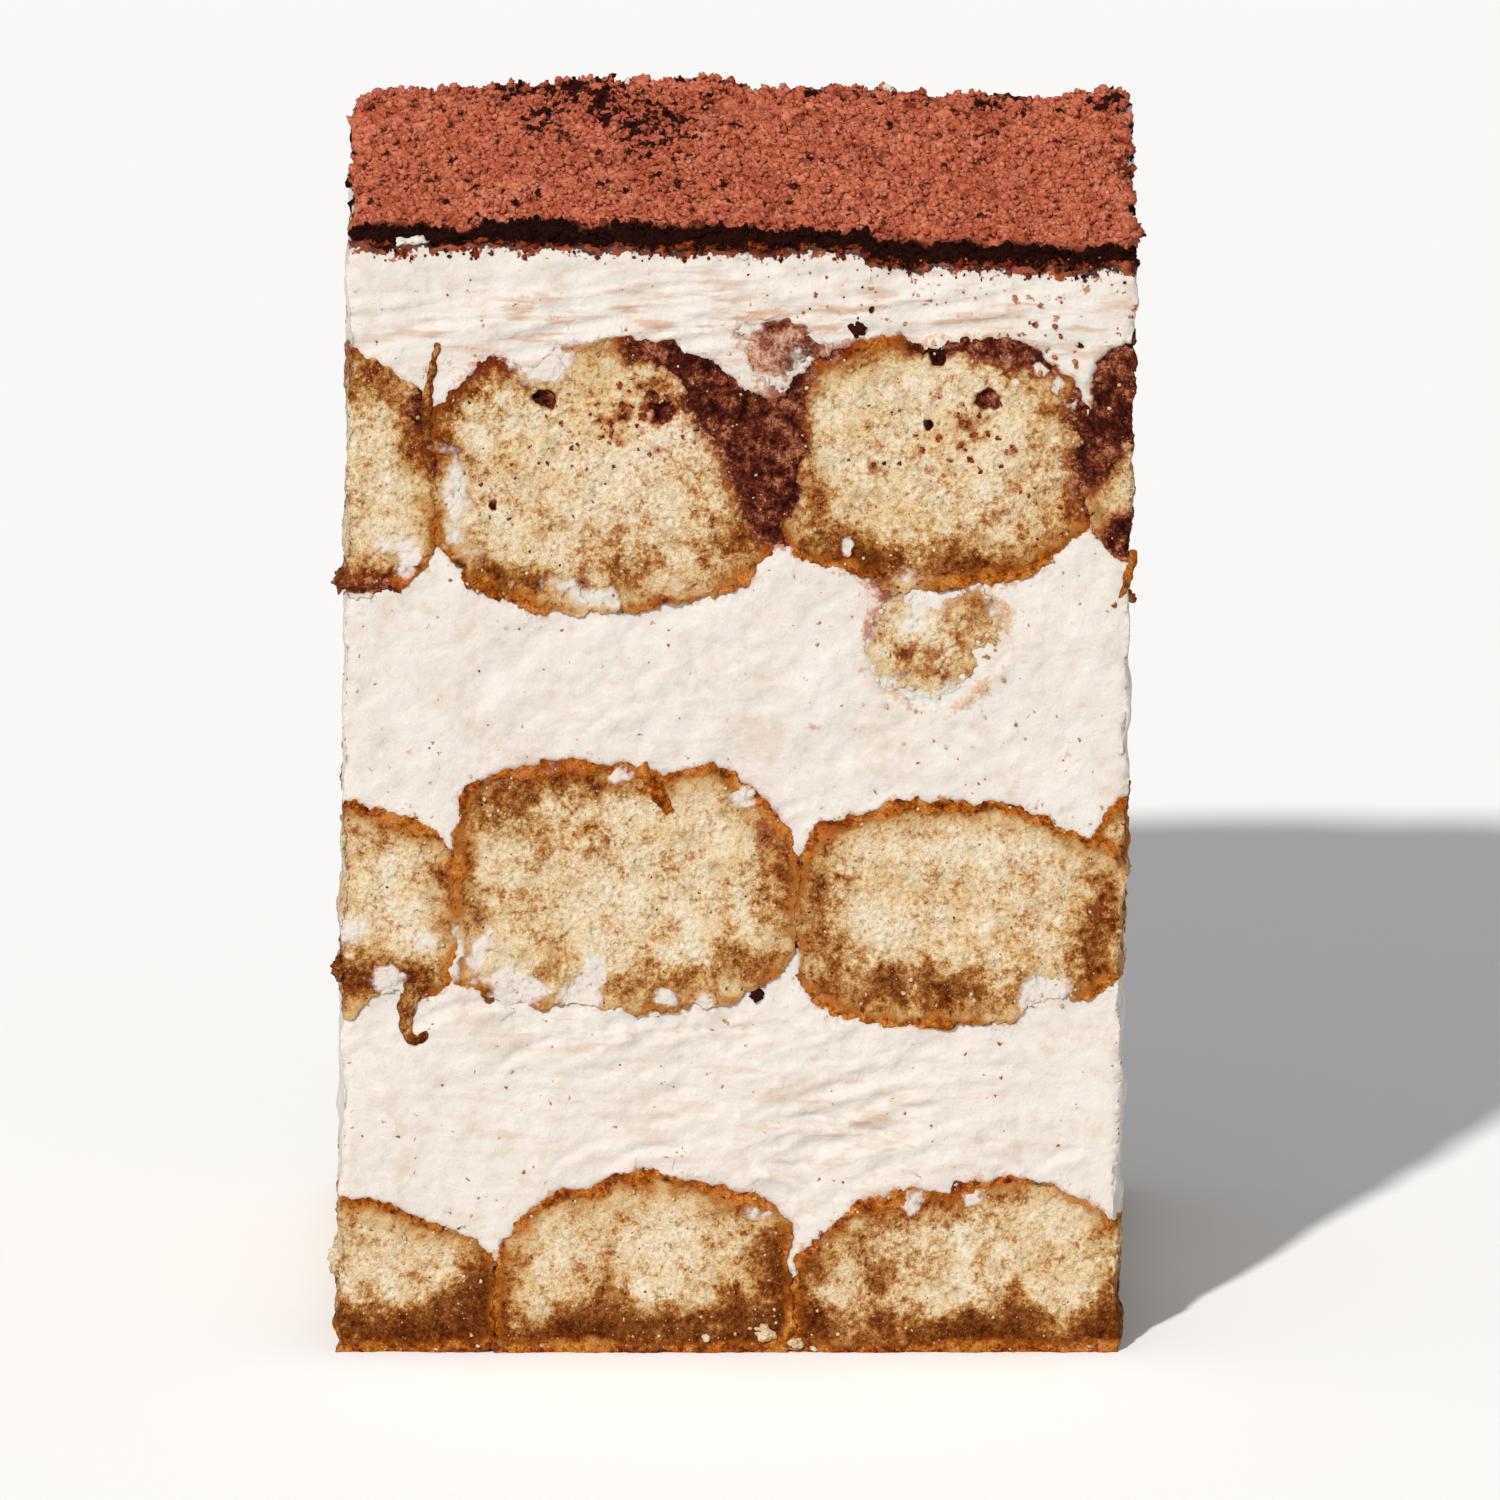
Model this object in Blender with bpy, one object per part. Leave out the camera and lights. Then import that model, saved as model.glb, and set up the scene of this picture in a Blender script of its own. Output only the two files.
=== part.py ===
"""A portion of tiramisu: three rows of coffee-soaked sponge fingers, three layers of cream, cocoa on top.

The fingers run front to back, so the front and back are cut across them and the sides along them.
+Z is up, the front faces -Y, and the origin is the middle of the base. Units are metres.
"""

import math

import bmesh
import bpy
from mathutils import Matrix, Vector

MM = 0.001

# Driving dimensions
WIDTH = 65.0 * MM  # across the fingers, at any one height
DEPTH = 60.0 * MM  # along the fingers
LEAN = 1.2 * MM  # how far the top stands to the right of the base
GAP = 0.3 * MM  # clear space that touching pieces keep
CREAM_TOP = 95.0 * MM  # the cream's upper face at its left edge
COCOA_THICKNESS = 1.4 * MM
TOP_FALL = 1.9 * MM  # how much lower the right of the top is than the left, with one slope between them
SLOPE_SIDES = (-5.0 * MM, 25.0 * MM)  # where that slope starts and ends
BACK_TWIST = 1.1 * MM  # how far the back corners are off: the left one down, the right one up
SWELL = 0.25 * MM  # height of the broad waves in the top
SWELL_TURNS = (300.0, 160.0)  # how fast those waves run sideways and front to back, in radians a metre
SWELL_STARTS = (0.6, -0.4)  # where in a wave the middle of the top is, in radians

# Mesh fineness
FINGER_SIDES = 56
COCOA_COLUMNS = 16
COCOA_ROWS = 14
LUMP_SEGMENTS = 20
LUMP_RINGS = 12

# Heights, in the middle of each row, that split the cream into layers; neighbouring fingers touch there
BOTTOM_ROW_SPLIT = 4.5 * MM
MIDDLE_ROW_SPLIT = 38.5 * MM
TOP_ROW_SPLIT = 76.0 * MM
SEAM_LEVELS = (69.6 * MM, 82.3 * MM)  # the soaked seam between the two whole fingers of the top row
SEAM_SIDES = (-4.0 * MM, 10.5 * MM)

# Each finger, in mm: its left and right limits, its base and top, the share of its height at its widest,
# the powers of its lower and upper half outlines (2 is an ellipse, more is squarer), how far its top
# leans to the right, and the dents in its outline as (x, half width, depth), deeper than 0 in the top
# and less than 0 in the underside.
FINGERS = {
    "finger_bottom_left": dict(
        sides=(-47.0, -19.3), levels=(0.0, 13.8), widest=0.34, powers=(9.0, 2.2), skew=-2.2, dents=()
    ),
    "finger_bottom_mid": dict(
        sides=(-19.3, 5.3), levels=(0.0, 14.7), widest=0.38, powers=(9.0, 2.4), skew=0.9,
        dents=((-12.5, 1.6, 0.7),),
    ),
    "finger_bottom_right": dict(
        sides=(5.3, 33.6), levels=(0.0, 15.0), widest=0.38, powers=(9.0, 2.0), skew=0.8,
        dents=((17.0, 1.6, 0.8),),
    ),
    "finger_middle_left": dict(
        sides=(-51.0, -23.4), levels=(28.6, 48.3), widest=0.50, powers=(2.6, 2.2), skew=-1.5,
        dents=((-29.5, 2.3, -1.9),),
    ),
    "finger_middle_mid": dict(
        sides=(-23.4, 5.4), levels=(29.9, 50.7), widest=0.42, powers=(3.0, 2.7), skew=-1.0,
        dents=((-4.4, 2.2, 1.4), (-12.6, 2.2, -1.0)),
    ),
    "finger_middle_right": dict(
        sides=(5.4, 33.8), levels=(28.4, 48.2), widest=0.46, powers=(2.5, 2.0), skew=-1.4,
        dents=((26.4, 2.3, -2.0),),
    ),
    "finger_middle_edge": dict(
        sides=(30.2, 58.0), levels=(34.6, 50.4), widest=0.55, powers=(2.2, 2.2), skew=0.0, dents=()
    ),
    "finger_top_left": dict(
        sides=(-53.0, -25.7), levels=(64.0, 86.4), widest=0.50, powers=(2.3, 2.3), skew=-0.8, dents=()
    ),
    "finger_top_mid": dict(
        sides=(-25.7, 2.7), levels=(63.9, 87.3), widest=0.50, powers=(2.4, 2.3), skew=-1.5,
        dents=((-16.3, 2.6, 2.0),),
    ),
    "finger_top_right": dict(
        sides=(4.0, 30.0), levels=(65.9, 87.6), widest=0.46, powers=(2.3, 2.3), skew=0.0,
        dents=((9.6, 2.4, -1.0),),
    ),
    "finger_top_edge": dict(
        sides=(30.0, 57.0), levels=(68.2, 87.0), widest=0.50, powers=(3.4, 3.2), skew=0.0, dents=()
    ),
}
SQUASH = 1.07  # how much wider a finger would be if its neighbours didn't press its sides flat
BASE_SQUASH = 1.04  # the same for the base of the fingers that the portion stands on
FRONT_TO_BACK_DRIFT = 1.1 * MM  # most that a finger's middle wanders sideways along its length
FRONT_TO_BACK_SWELL = 0.035  # most that a finger's height changes along its length, as a share
OUTLINE_WOBBLE = 0.012  # unevenness of a finger's outline, as a share of its size
DENT_FADE = 0.8  # share of a dent's depth that is gone by the back
FINGER_STEP = 1.3  # how far out of step each finger's unevenness is with the one before, in radians
CUTTER_STRETCH = 1.2  # how much longer than a finger the cutter that clears the cream round it is

# Lumps torn off the fingers by the knife, which show at the front cut: middle, half sizes, tilt in degrees
LUMPS = {
    "torn_sponge_lump": dict(middle=(16.6, 61.4), half=(5.9, 5.6, 3.6), tilt=-28.0),
    "coffee_stained_lump": dict(middle=(3.8, 86.0), half=(4.4, 2.6, 3.0), tilt=32.0),
}

COLOURS = {
    "sponge": (0.70, 0.49, 0.27, 1.0),
    "soaked_sponge": (0.11, 0.026, 0.014, 1.0),
    "cream": (0.90, 0.80, 0.70, 1.0),
    "cocoa": (0.42, 0.095, 0.05, 1.0),
}
ROUGHNESS = {"sponge": 0.85, "soaked_sponge": 0.45, "cream": 0.5, "cocoa": 0.95}


def clear_scene():
    for obj in list(bpy.data.objects):
        bpy.data.objects.remove(obj)


def new_collection(name, shown=True):
    collection = bpy.data.collections.new(name)
    collection.hide_render = not shown
    bpy.context.scene.collection.children.link(collection)
    return collection


def new_material(name):
    material = bpy.data.materials.new(name)
    material.use_nodes = True
    shader = material.node_tree.nodes["Principled BSDF"]
    shader.inputs["Base Color"].default_value = COLOURS[name]
    shader.inputs["Roughness"].default_value = ROUGHNESS[name]
    shader.inputs["Metallic"].default_value = 0.0
    return material


def leaning(x, y, z):
    """A point of the upright portion, moved sideways by the portion's lean at that height."""
    return Vector((x + LEAN * (z / CREAM_TOP - 0.5), y, z))


def top_height(x, y):
    """Height of the cream's upper face, which falls to the right, twists to the back and has broad waves."""
    start, end = SLOPE_SIDES
    share = min(max((x - start) / (end - start), 0.0), 1.0)
    fall = TOP_FALL * share**2 * (3.0 - 2.0 * share)
    side = 2.0 * x / WIDTH
    twist = BACK_TWIST * side * abs(side) * (y / DEPTH + 0.5)
    across = math.sin(SWELL_TURNS[0] * x + SWELL_STARTS[0])
    along = math.cos(SWELL_TURNS[1] * y + SWELL_STARTS[1])
    waves = SWELL * across * along
    return CREAM_TOP - fall + twist + waves


def object_from(bm, name, collection, material=None):
    bmesh.ops.recalc_face_normals(bm, faces=bm.faces)
    mesh = bpy.data.meshes.new(name)
    bm.to_mesh(mesh)
    bm.free()
    obj = bpy.data.objects.new(name, mesh)
    collection.objects.link(obj)
    if material:
        mesh.materials.append(material)
    return obj


def cutter_from(bm, name, collection):
    obj = object_from(bm, name, collection)
    obj.hide_render = True
    obj.display_type = "WIRE"
    return obj


def cut(obj, operation, cutter):
    boolean = obj.modifiers.new(cutter.name, "BOOLEAN")
    boolean.operation = operation
    boolean.object = cutter
    boolean.solver = "EXACT"


def cut_all(obj, collection):
    boolean = obj.modifiers.new(collection.name, "BOOLEAN")
    boolean.operation = "DIFFERENCE"
    boolean.operand_type = "COLLECTION"
    boolean.collection = collection
    boolean.solver = "EXACT"


def block(low, high):
    """A leaning box between two corners."""
    bm = bmesh.new()
    bmesh.ops.create_cube(bm, size=1.0)
    for vert in bm.verts:
        share = vert.co + Vector((0.5, 0.5, 0.5))
        vert.co = leaning(*(a + (b - a) * t for a, b, t in zip(low, high, share)))
    return bm


def dent_depth(spec, x, upper):
    """How deep the dents in a finger's top, or in its underside, are at x."""
    side = 1.0 if upper else -1.0
    return sum(
        max(depth * side, 0.0) * MM * math.exp(-(((x - middle * MM) / (half * MM)) ** 2))
        for middle, half, depth in spec["dents"]
    )


def finger_outline_point(spec, phase, angle, along, grow):
    """A point of a finger's cross-section, made of two half superellipses that meet where it is widest.

    along runs from -0.5 at the front to 0.5 at the back.
    """
    left, right = (limit * MM for limit in spec["sides"])
    base, top = (level * MM for level in spec["levels"])
    lower_power, upper_power = spec["powers"]
    widest = base + (top - base) * spec["widest"]
    stands = base == 0.0
    upper = math.sin(angle) >= 0.0
    power = 2.0 / (upper_power if upper else lower_power)
    across = math.copysign(abs(math.cos(angle)) ** power, math.cos(angle))
    rise = abs(math.sin(angle)) ** power
    wobble = 1.0 + OUTLINE_WOBBLE * (math.sin(3.0 * angle + phase) + math.sin(5.0 * angle - 2.0 * phase))
    half_width = (right - left) / 2.0 * SQUASH * wobble
    drift = FRONT_TO_BACK_DRIFT * math.sin(phase + 2.2 * along)
    bare_x = (left + right) / 2.0 + drift + half_width * across
    x = bare_x + grow * across
    dent = dent_depth(spec, bare_x, upper) * (1.0 - DENT_FADE * (along + 0.5))
    edge = GAP / 2.0 - grow
    if upper:
        swell = 1.0 + FRONT_TO_BACK_SWELL * math.sin(1.7 * phase + 2.6 * along)
        x += spec["skew"] * MM * rise**2
        x = min(max(x, left + edge), right - edge)
        z = widest + ((top - widest) * swell * wobble - dent + grow) * rise
    elif stands:
        x = min(max(x, left + edge), right - edge)
        z = widest - ((widest - base) * BASE_SQUASH + grow) * rise
        z = max(z, base - grow)
    else:
        x = min(max(x, left + edge), right - edge)
        z = widest - ((widest - base) * wobble - dent + grow) * rise
    return Vector((x, 0.0, z))


def finger(spec, phase, grow=0.0):
    """A finger as a lying cylinder, reshaped at its ends and its middle; a grown one runs past both cuts."""
    stretch = 1.0 if grow == 0.0 else CUTTER_STRETCH
    bm = bmesh.new()
    lying = Matrix.Rotation(math.radians(90.0), 4, "X")
    bmesh.ops.create_cone(
        bm, cap_ends=True, segments=FINGER_SIDES, radius1=1.0, radius2=1.0, depth=1.0, matrix=lying
    )
    long_edges = [e for e in bm.edges if abs(e.verts[0].co.y - e.verts[1].co.y) > 0.5]
    bmesh.ops.subdivide_edges(bm, edges=long_edges, cuts=1)
    for vert in bm.verts:
        along, angle = vert.co.y, math.atan2(vert.co.z, vert.co.x)
        middle = finger_outline_point(spec, phase, angle, 0.0, grow)
        end = finger_outline_point(spec, phase, angle, along, grow)
        section = middle + (end - middle) * stretch
        vert.co = leaning(section.x, along * DEPTH * stretch, section.z)
    walls = [face for face in bm.faces if len(face.verts) == 4]
    bmesh.ops.triangulate(bm, faces=walls, quad_method="FIXED")
    return bm


def lump(spec, grow=0.0):
    """A torn lump as a tilted egg, half of which the front cut removes."""
    x, z = (value * MM for value in spec["middle"])
    half = Vector([value * MM + grow for value in spec["half"]])
    turn = Matrix.Rotation(math.radians(spec["tilt"]), 4, "Y")
    bm = bmesh.new()
    bmesh.ops.create_uvsphere(bm, u_segments=LUMP_SEGMENTS, v_segments=LUMP_RINGS, radius=1.0)
    for vert in bm.verts:
        egg = turn @ Vector((vert.co.x * half.x, vert.co.y * half.z, vert.co.z * half.y))
        vert.co = leaning(x + egg.x, egg.y - DEPTH / 2.0, z + egg.z)
    return bm


def slab_with_uneven_top(floor_height, thickness_above):
    """A slab whose top, and whose underside too if floor_height is None, follow the portion's uneven top."""
    bm = bmesh.new()
    bmesh.ops.create_grid(bm, x_segments=COCOA_COLUMNS, y_segments=COCOA_ROWS, size=0.5)
    lower_faces = list(bm.faces)
    raised = bmesh.ops.extrude_face_region(bm, geom=lower_faces)
    upper = {item for item in raised["geom"] if isinstance(item, bmesh.types.BMVert)}
    for vert in bm.verts:
        x, y = vert.co.x * WIDTH, vert.co.y * DEPTH
        if vert in upper:
            z = top_height(x, y) + thickness_above
        elif floor_height is None:
            z = top_height(x, y)
        else:
            z = floor_height
        vert.co = leaning(x, y, z)
    return bm


def build():
    clear_scene()
    parts = new_collection("tiramisu_portion")
    cutters = new_collection("cutters", shown=False)
    materials = {name: new_material(name) for name in COLOURS}
    half_width, half_depth = WIDTH / 2.0, DEPTH / 2.0
    reach = 20.0 * MM

    portion = block((-half_width, -half_depth, -reach), (half_width, half_depth, CREAM_TOP + reach))
    trim = cutter_from(portion, "trim", cutters)

    # Fingers, each cut to the portion's width, and a grown copy of each to clear the cream round it
    grown = {}
    for number, (name, spec) in enumerate(FINGERS.items()):
        phase = FINGER_STEP * number
        material = materials["soaked_sponge" if name == "finger_top_edge" else "sponge"]
        obj = object_from(finger(spec, phase), name, parts, material)
        cut(obj, "INTERSECT", trim)
        grown[name] = cutter_from(finger(spec, phase, GAP), "round_" + name, cutters)
    cut(bpy.data.objects["finger_middle_edge"], "DIFFERENCE", grown["finger_middle_right"])

    # Syrup-soaked crumbs packed between the two whole fingers of the top row
    between = block((SEAM_SIDES[0], -half_depth, SEAM_LEVELS[0]), (SEAM_SIDES[1], half_depth, SEAM_LEVELS[1]))
    seam = object_from(between, "soaked_seam", parts, materials["soaked_sponge"])
    cut(seam, "DIFFERENCE", grown["finger_top_mid"])
    cut(seam, "DIFFERENCE", grown["finger_top_right"])
    round_seam = block(
        (SEAM_SIDES[0] - GAP, -half_depth - reach, SEAM_LEVELS[0] - GAP),
        (SEAM_SIDES[1] + GAP, half_depth + reach, SEAM_LEVELS[1] + GAP),
    )
    grown["soaked_seam"] = cutter_from(round_seam, "round_soaked_seam", cutters)

    # Torn lumps, clear of the fingers they hang on
    for name, spec in LUMPS.items():
        obj = object_from(lump(spec), name, parts, materials["sponge"])
        cut(obj, "INTERSECT", trim)
        for neighbour in ("finger_top_mid", "finger_top_right", "soaked_seam"):
            cut(obj, "DIFFERENCE", grown[neighbour])
        grown[name] = cutter_from(lump(spec, GAP), "round_" + name, cutters)

    # Cream layers, cleared of every finger and lump they meet
    layers = {
        "cream_lower": (BOTTOM_ROW_SPLIT, MIDDLE_ROW_SPLIT, ("bottom", "middle")),
        "cream_middle": (MIDDLE_ROW_SPLIT, TOP_ROW_SPLIT, ("middle", "top_", "seam", "torn")),
    }
    creams = {}
    for name, (low, high, neighbours) in layers.items():
        body = block((-half_width, -half_depth, low), (half_width, half_depth, high))
        creams[name] = (object_from(body, name, parts, materials["cream"]), neighbours)
    body = slab_with_uneven_top(TOP_ROW_SPLIT, 0.0)
    creams["cream_top"] = (
        object_from(body, "cream_top", parts, materials["cream"]), ("top_", "seam", "stained")
    )
    for name, (cream, neighbours) in creams.items():
        round_cream = bpy.data.collections.new("round_" + name)
        cutters.children.link(round_cream)
        for cutter_name, cutter in grown.items():
            if any(word in cutter_name for word in neighbours):
                round_cream.objects.link(cutter)
        cut_all(cream, round_cream)

    # Cocoa, lying on the cream with the gap that touching pieces keep
    cocoa = object_from(slab_with_uneven_top(None, COCOA_THICKNESS), "cocoa_layer", parts, materials["cocoa"])
    cocoa.location.z = GAP


build()
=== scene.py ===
"""The looks of a tiramisu portion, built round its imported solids: cut sponge fingers, cream and cocoa."""

import math
import random

import bmesh
import bpy
import numpy as np
from mathutils import Euler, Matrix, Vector, noise
from mathutils.bvhtree import BVHTree


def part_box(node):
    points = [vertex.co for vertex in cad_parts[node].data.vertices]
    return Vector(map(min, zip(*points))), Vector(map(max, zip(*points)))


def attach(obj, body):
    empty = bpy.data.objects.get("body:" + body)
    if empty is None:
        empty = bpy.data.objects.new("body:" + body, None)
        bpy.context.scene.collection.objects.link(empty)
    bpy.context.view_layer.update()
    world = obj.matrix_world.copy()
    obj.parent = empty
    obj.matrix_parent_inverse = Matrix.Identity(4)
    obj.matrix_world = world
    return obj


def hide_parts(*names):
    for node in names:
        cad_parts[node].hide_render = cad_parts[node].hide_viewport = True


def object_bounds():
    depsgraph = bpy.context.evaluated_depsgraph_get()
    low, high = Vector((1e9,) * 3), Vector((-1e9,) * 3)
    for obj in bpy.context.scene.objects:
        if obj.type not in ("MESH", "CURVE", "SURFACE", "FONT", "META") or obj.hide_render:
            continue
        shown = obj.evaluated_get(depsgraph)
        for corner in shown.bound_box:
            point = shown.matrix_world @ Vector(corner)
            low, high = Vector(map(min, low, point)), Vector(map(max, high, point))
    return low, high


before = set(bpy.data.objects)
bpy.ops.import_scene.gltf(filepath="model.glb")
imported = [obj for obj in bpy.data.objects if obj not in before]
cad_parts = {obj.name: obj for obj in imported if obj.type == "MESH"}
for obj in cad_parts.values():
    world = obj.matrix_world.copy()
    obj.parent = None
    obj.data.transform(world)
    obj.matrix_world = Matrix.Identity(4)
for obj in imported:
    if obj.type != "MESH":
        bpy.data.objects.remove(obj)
solid_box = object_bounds()

MM = 0.001
PORTION_LOW, PORTION_HIGH = solid_box
DEPTH = PORTION_HIGH.y - PORTION_LOW.y
HEIGHT = PORTION_HIGH.z - PORTION_LOW.z
LOWER_LOW, LOWER_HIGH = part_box("cream_lower")
TOP_LOW, TOP_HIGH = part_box("cream_top")
# How far the portion's top stands to the right of its middle, and its width square across
LEAN = 0.5 * HEIGHT * (TOP_LOW.x - LOWER_LOW.x) / (TOP_LOW.z - LOWER_LOW.z)
HALF_WIDTH = (LOWER_HIGH.x - LOWER_LOW.x) / 2.0 - LEAN * (LOWER_HIGH.z - LOWER_LOW.z) / HEIGHT

GRAIN = 0.25 * MM  # size of the small faces on the cuts
FLANK = 10.0  # how many grains long a face is where no one sees it
BACK_CORNER = 1.6 * MM  # rounding of the upright corners
FRONT_CORNER = 0.5 * MM

rng = random.Random(11)


# ---------------------------------------------------------------- bench tools


def only(piece):
    """Selects one piece and nothing else."""
    bpy.ops.object.select_all(action="DESELECT")
    piece.select_set(True)
    bpy.context.view_layer.objects.active = piece


def apply_modifier(piece, kind, **settings):
    only(piece)
    modifier = piece.modifiers.new(kind.title(), kind)
    for key, value in settings.items():
        setattr(modifier, key, value)
    bpy.ops.object.modifier_apply(modifier=modifier.name)


def points_of(piece):
    points = np.empty(len(piece.data.vertices) * 3)
    piece.data.vertices.foreach_get("co", points)
    return points.reshape(-1, 3)


def move_points(piece, points):
    piece.data.vertices.foreach_set("co", points.ravel())
    piece.data.update()


def normals_of(piece):
    normals = np.empty(len(piece.data.vertices) * 3)
    piece.data.vertices.foreach_get("normal", normals)
    return normals.reshape(-1, 3)


def paint(piece, name, values):
    """Keeps one number per point for the finish to read."""
    layer = piece.data.attributes.new(name, "FLOAT", "POINT")
    layer.data.foreach_set("value", np.asarray(values, dtype=np.float32))


def smooth(values, start, end):
    """0 up to start, 1 from end on, and a soft step between."""
    share = np.clip((values - start) / (end - start), 0.0, 1.0)
    return share * share * (3.0 - 2.0 * share)


def upright_x(points):
    """Each point's x with the portion's lean taken out."""
    return points[:, 0] - LEAN * (2.0 * points[:, 2] / HEIGHT - 1.0)


# ---------------------------------------------------------------- working the solids


def worked_copy(name, nodes, swell):
    """A fine mesh of one or more nodes' solids: small faces on the cuts, long ones on the hidden flanks."""
    joined = bmesh.new()
    for node in nodes:
        joined.from_mesh(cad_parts[node].data)
    mesh = bpy.data.meshes.new(name)
    joined.to_mesh(mesh)
    joined.free()
    piece = bpy.data.objects.new(name, mesh)
    bpy.context.scene.collection.objects.link(piece)
    only(piece)
    bpy.ops.object.mode_set(mode="EDIT")
    bpy.ops.mesh.select_all(action="SELECT")
    bpy.ops.mesh.remove_doubles(threshold=0.002 * MM)
    bpy.ops.mesh.normals_make_consistent(inside=False)
    bpy.ops.transform.resize(value=(1.0, 1.0 / FLANK, 1.0), center_override=(0.0, 0.0, 0.0))
    bpy.ops.object.mode_set(mode="OBJECT")
    apply_modifier(piece, "REMESH", mode="VOXEL", voxel_size=GRAIN)
    if swell:
        apply_modifier(piece, "DISPLACE", strength=swell, mid_level=0.0)
    bpy.ops.object.mode_set(mode="EDIT")
    bpy.ops.mesh.select_all(action="SELECT")
    bpy.ops.transform.resize(value=(1.0, FLANK, 1.0), center_override=(0.0, 0.0, 0.0))
    bpy.ops.object.mode_set(mode="OBJECT")
    square_up(piece)
    split_side_walls(piece)
    return piece


def square_up(piece):
    """Brings the ends and side walls, which remeshing rounds, back to the planes of the cuts."""
    points = points_of(piece)
    near_end = np.abs(points[:, 1]) > DEPTH / 2.0 - 0.7 * FLANK * GRAIN
    points[near_end, 1] = np.sign(points[near_end, 1]) * DEPTH / 2.0
    straight = upright_x(points)
    lean = points[:, 0] - straight
    near_wall = np.abs(straight) > HALF_WIDTH - 0.6 * GRAIN
    points[near_wall, 0] = (np.sign(straight) * HALF_WIDTH + lean)[near_wall]
    move_points(piece, points)


def split_side_walls(piece):
    """Cuts the long faces on the portion's left and right walls into short ones."""
    only(piece)
    bpy.ops.object.mode_set(mode="EDIT")
    bpy.ops.mesh.select_mode(type="EDGE")
    bpy.ops.mesh.select_all(action="DESELECT")
    bm = bmesh.from_edit_mesh(piece.data)
    for edge in bm.edges:
        ends = [vert.co for vert in edge.verts]
        along = abs(ends[0].y - ends[1].y)
        on_wall = all(
            abs(end.x - LEAN * (2.0 * end.z / HEIGHT - 1.0)) > HALF_WIDTH - 0.5 * GRAIN for end in ends
        )
        edge.select_set(on_wall and along > 4.0 * GRAIN)
    bmesh.update_edit_mesh(piece.data)
    bpy.ops.mesh.subdivide(number_cuts=int(FLANK) - 1)
    bpy.ops.object.mode_set(mode="OBJECT")


def split_front(piece):
    """Halves the faces on the front cut, where the crumb's pores are seen closest."""
    only(piece)
    bpy.ops.object.mode_set(mode="EDIT")
    bpy.ops.mesh.select_mode(type="FACE")
    bpy.ops.mesh.select_all(action="DESELECT")
    bm = bmesh.from_edit_mesh(piece.data)
    for face in bm.faces:
        face.select_set(all(vert.co.y < 0.1 * MM - DEPTH / 2.0 for vert in face.verts))
    bmesh.update_edit_mesh(piece.data)
    bpy.ops.mesh.subdivide(number_cuts=1)
    bpy.ops.object.mode_set(mode="OBJECT")


def on_cuts(points, reach=0.7 * MM):
    """1 on the portion's outside, falling to 0 a little way in."""
    front_back = smooth(np.abs(points[:, 1]), DEPTH / 2.0 - reach, DEPTH / 2.0 - 0.2 * reach)
    sides = smooth(np.abs(upright_x(points)), HALF_WIDTH - reach, HALF_WIDTH - 0.2 * reach)
    return np.maximum(front_back, sides)


def group_from(piece, name, shares):
    """A vertex group of the points whose share is over a half."""
    group = piece.vertex_groups.new(name=name)
    group.add(np.flatnonzero(shares > 0.5).tolist(), 1.0, "REPLACE")
    return name


def pattern(name, kind, size, **settings):
    """A displacement pattern with features of about that size."""
    texture = bpy.data.textures.new(name, kind)
    texture.noise_scale = size
    for key, value in settings.items():
        setattr(texture, key, value)
    return texture


def pitted(texture, edge):
    """Turns a cell pattern into flat ground with a pit in each cell."""
    texture.use_color_ramp = True
    low, high = texture.color_ramp.elements
    low.color, high.color = (0.0, 0.0, 0.0, 1.0), (1.0, 1.0, 1.0, 1.0)
    high.position = edge
    return texture


WOBBLES = (
    (pattern("broad_wobble", "CLOUDS", 6.0 * MM, cloud_type="COLOR", noise_depth=1), 1.5 * MM),
    (pattern("torn_wobble", "CLOUDS", 1.6 * MM, cloud_type="COLOR", noise_depth=2), 1.4 * MM),
    (pattern("fine_wobble", "CLOUDS", 0.6 * MM, cloud_type="COLOR", noise_depth=1), 0.4 * MM),
)


WALL_WAVE = pattern("wall_wave", "CLOUDS", 4.5 * MM, noise_depth=1)


def wave_walls(piece, straight):
    """Makes the left and right walls a little wavy, as a serrated knife leaves them."""
    for side in (-1.0, 1.0):
        group = group_from(piece, "wall", (straight * side > HALF_WIDTH - 0.1 * MM).astype(float))
        apply_modifier(
            piece, "DISPLACE", texture=WALL_WAVE, texture_coords="LOCAL", direction="X", strength=side * 1.1 * MM,
            mid_level=0.2, vertex_group=group,
        )
        piece.vertex_groups.clear()


def wobble(piece, rim, depth_share, wall_share):
    """Shifts every boundary by the same uneven field, so neighbours stay fitted to each other."""
    still = points_of(piece)
    for texture, strength in WOBBLES:
        apply_modifier(
            piece, "DISPLACE", texture=texture, texture_coords="LOCAL", direction="RGB_TO_XYZ", strength=strength
        )
    moved = points_of(piece)
    shift = moved - still
    shift *= (1.0 - 0.85 * smooth(rim, 1.2, 3.5))[:, None]
    near_wall = smooth(np.abs(upright_x(still)), HALF_WIDTH - 1.5 * MM, HALF_WIDTH - 0.3 * MM)
    shift[:, 0] *= 1.0 - (1.0 - wall_share) * near_wall
    shift[:, 1] *= depth_share
    shift[:, 2] *= smooth(still[:, 2], 0.3 * MM, 3.0 * MM)
    move_points(piece, still + shift)
    wave_walls(piece, upright_x(still))


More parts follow.
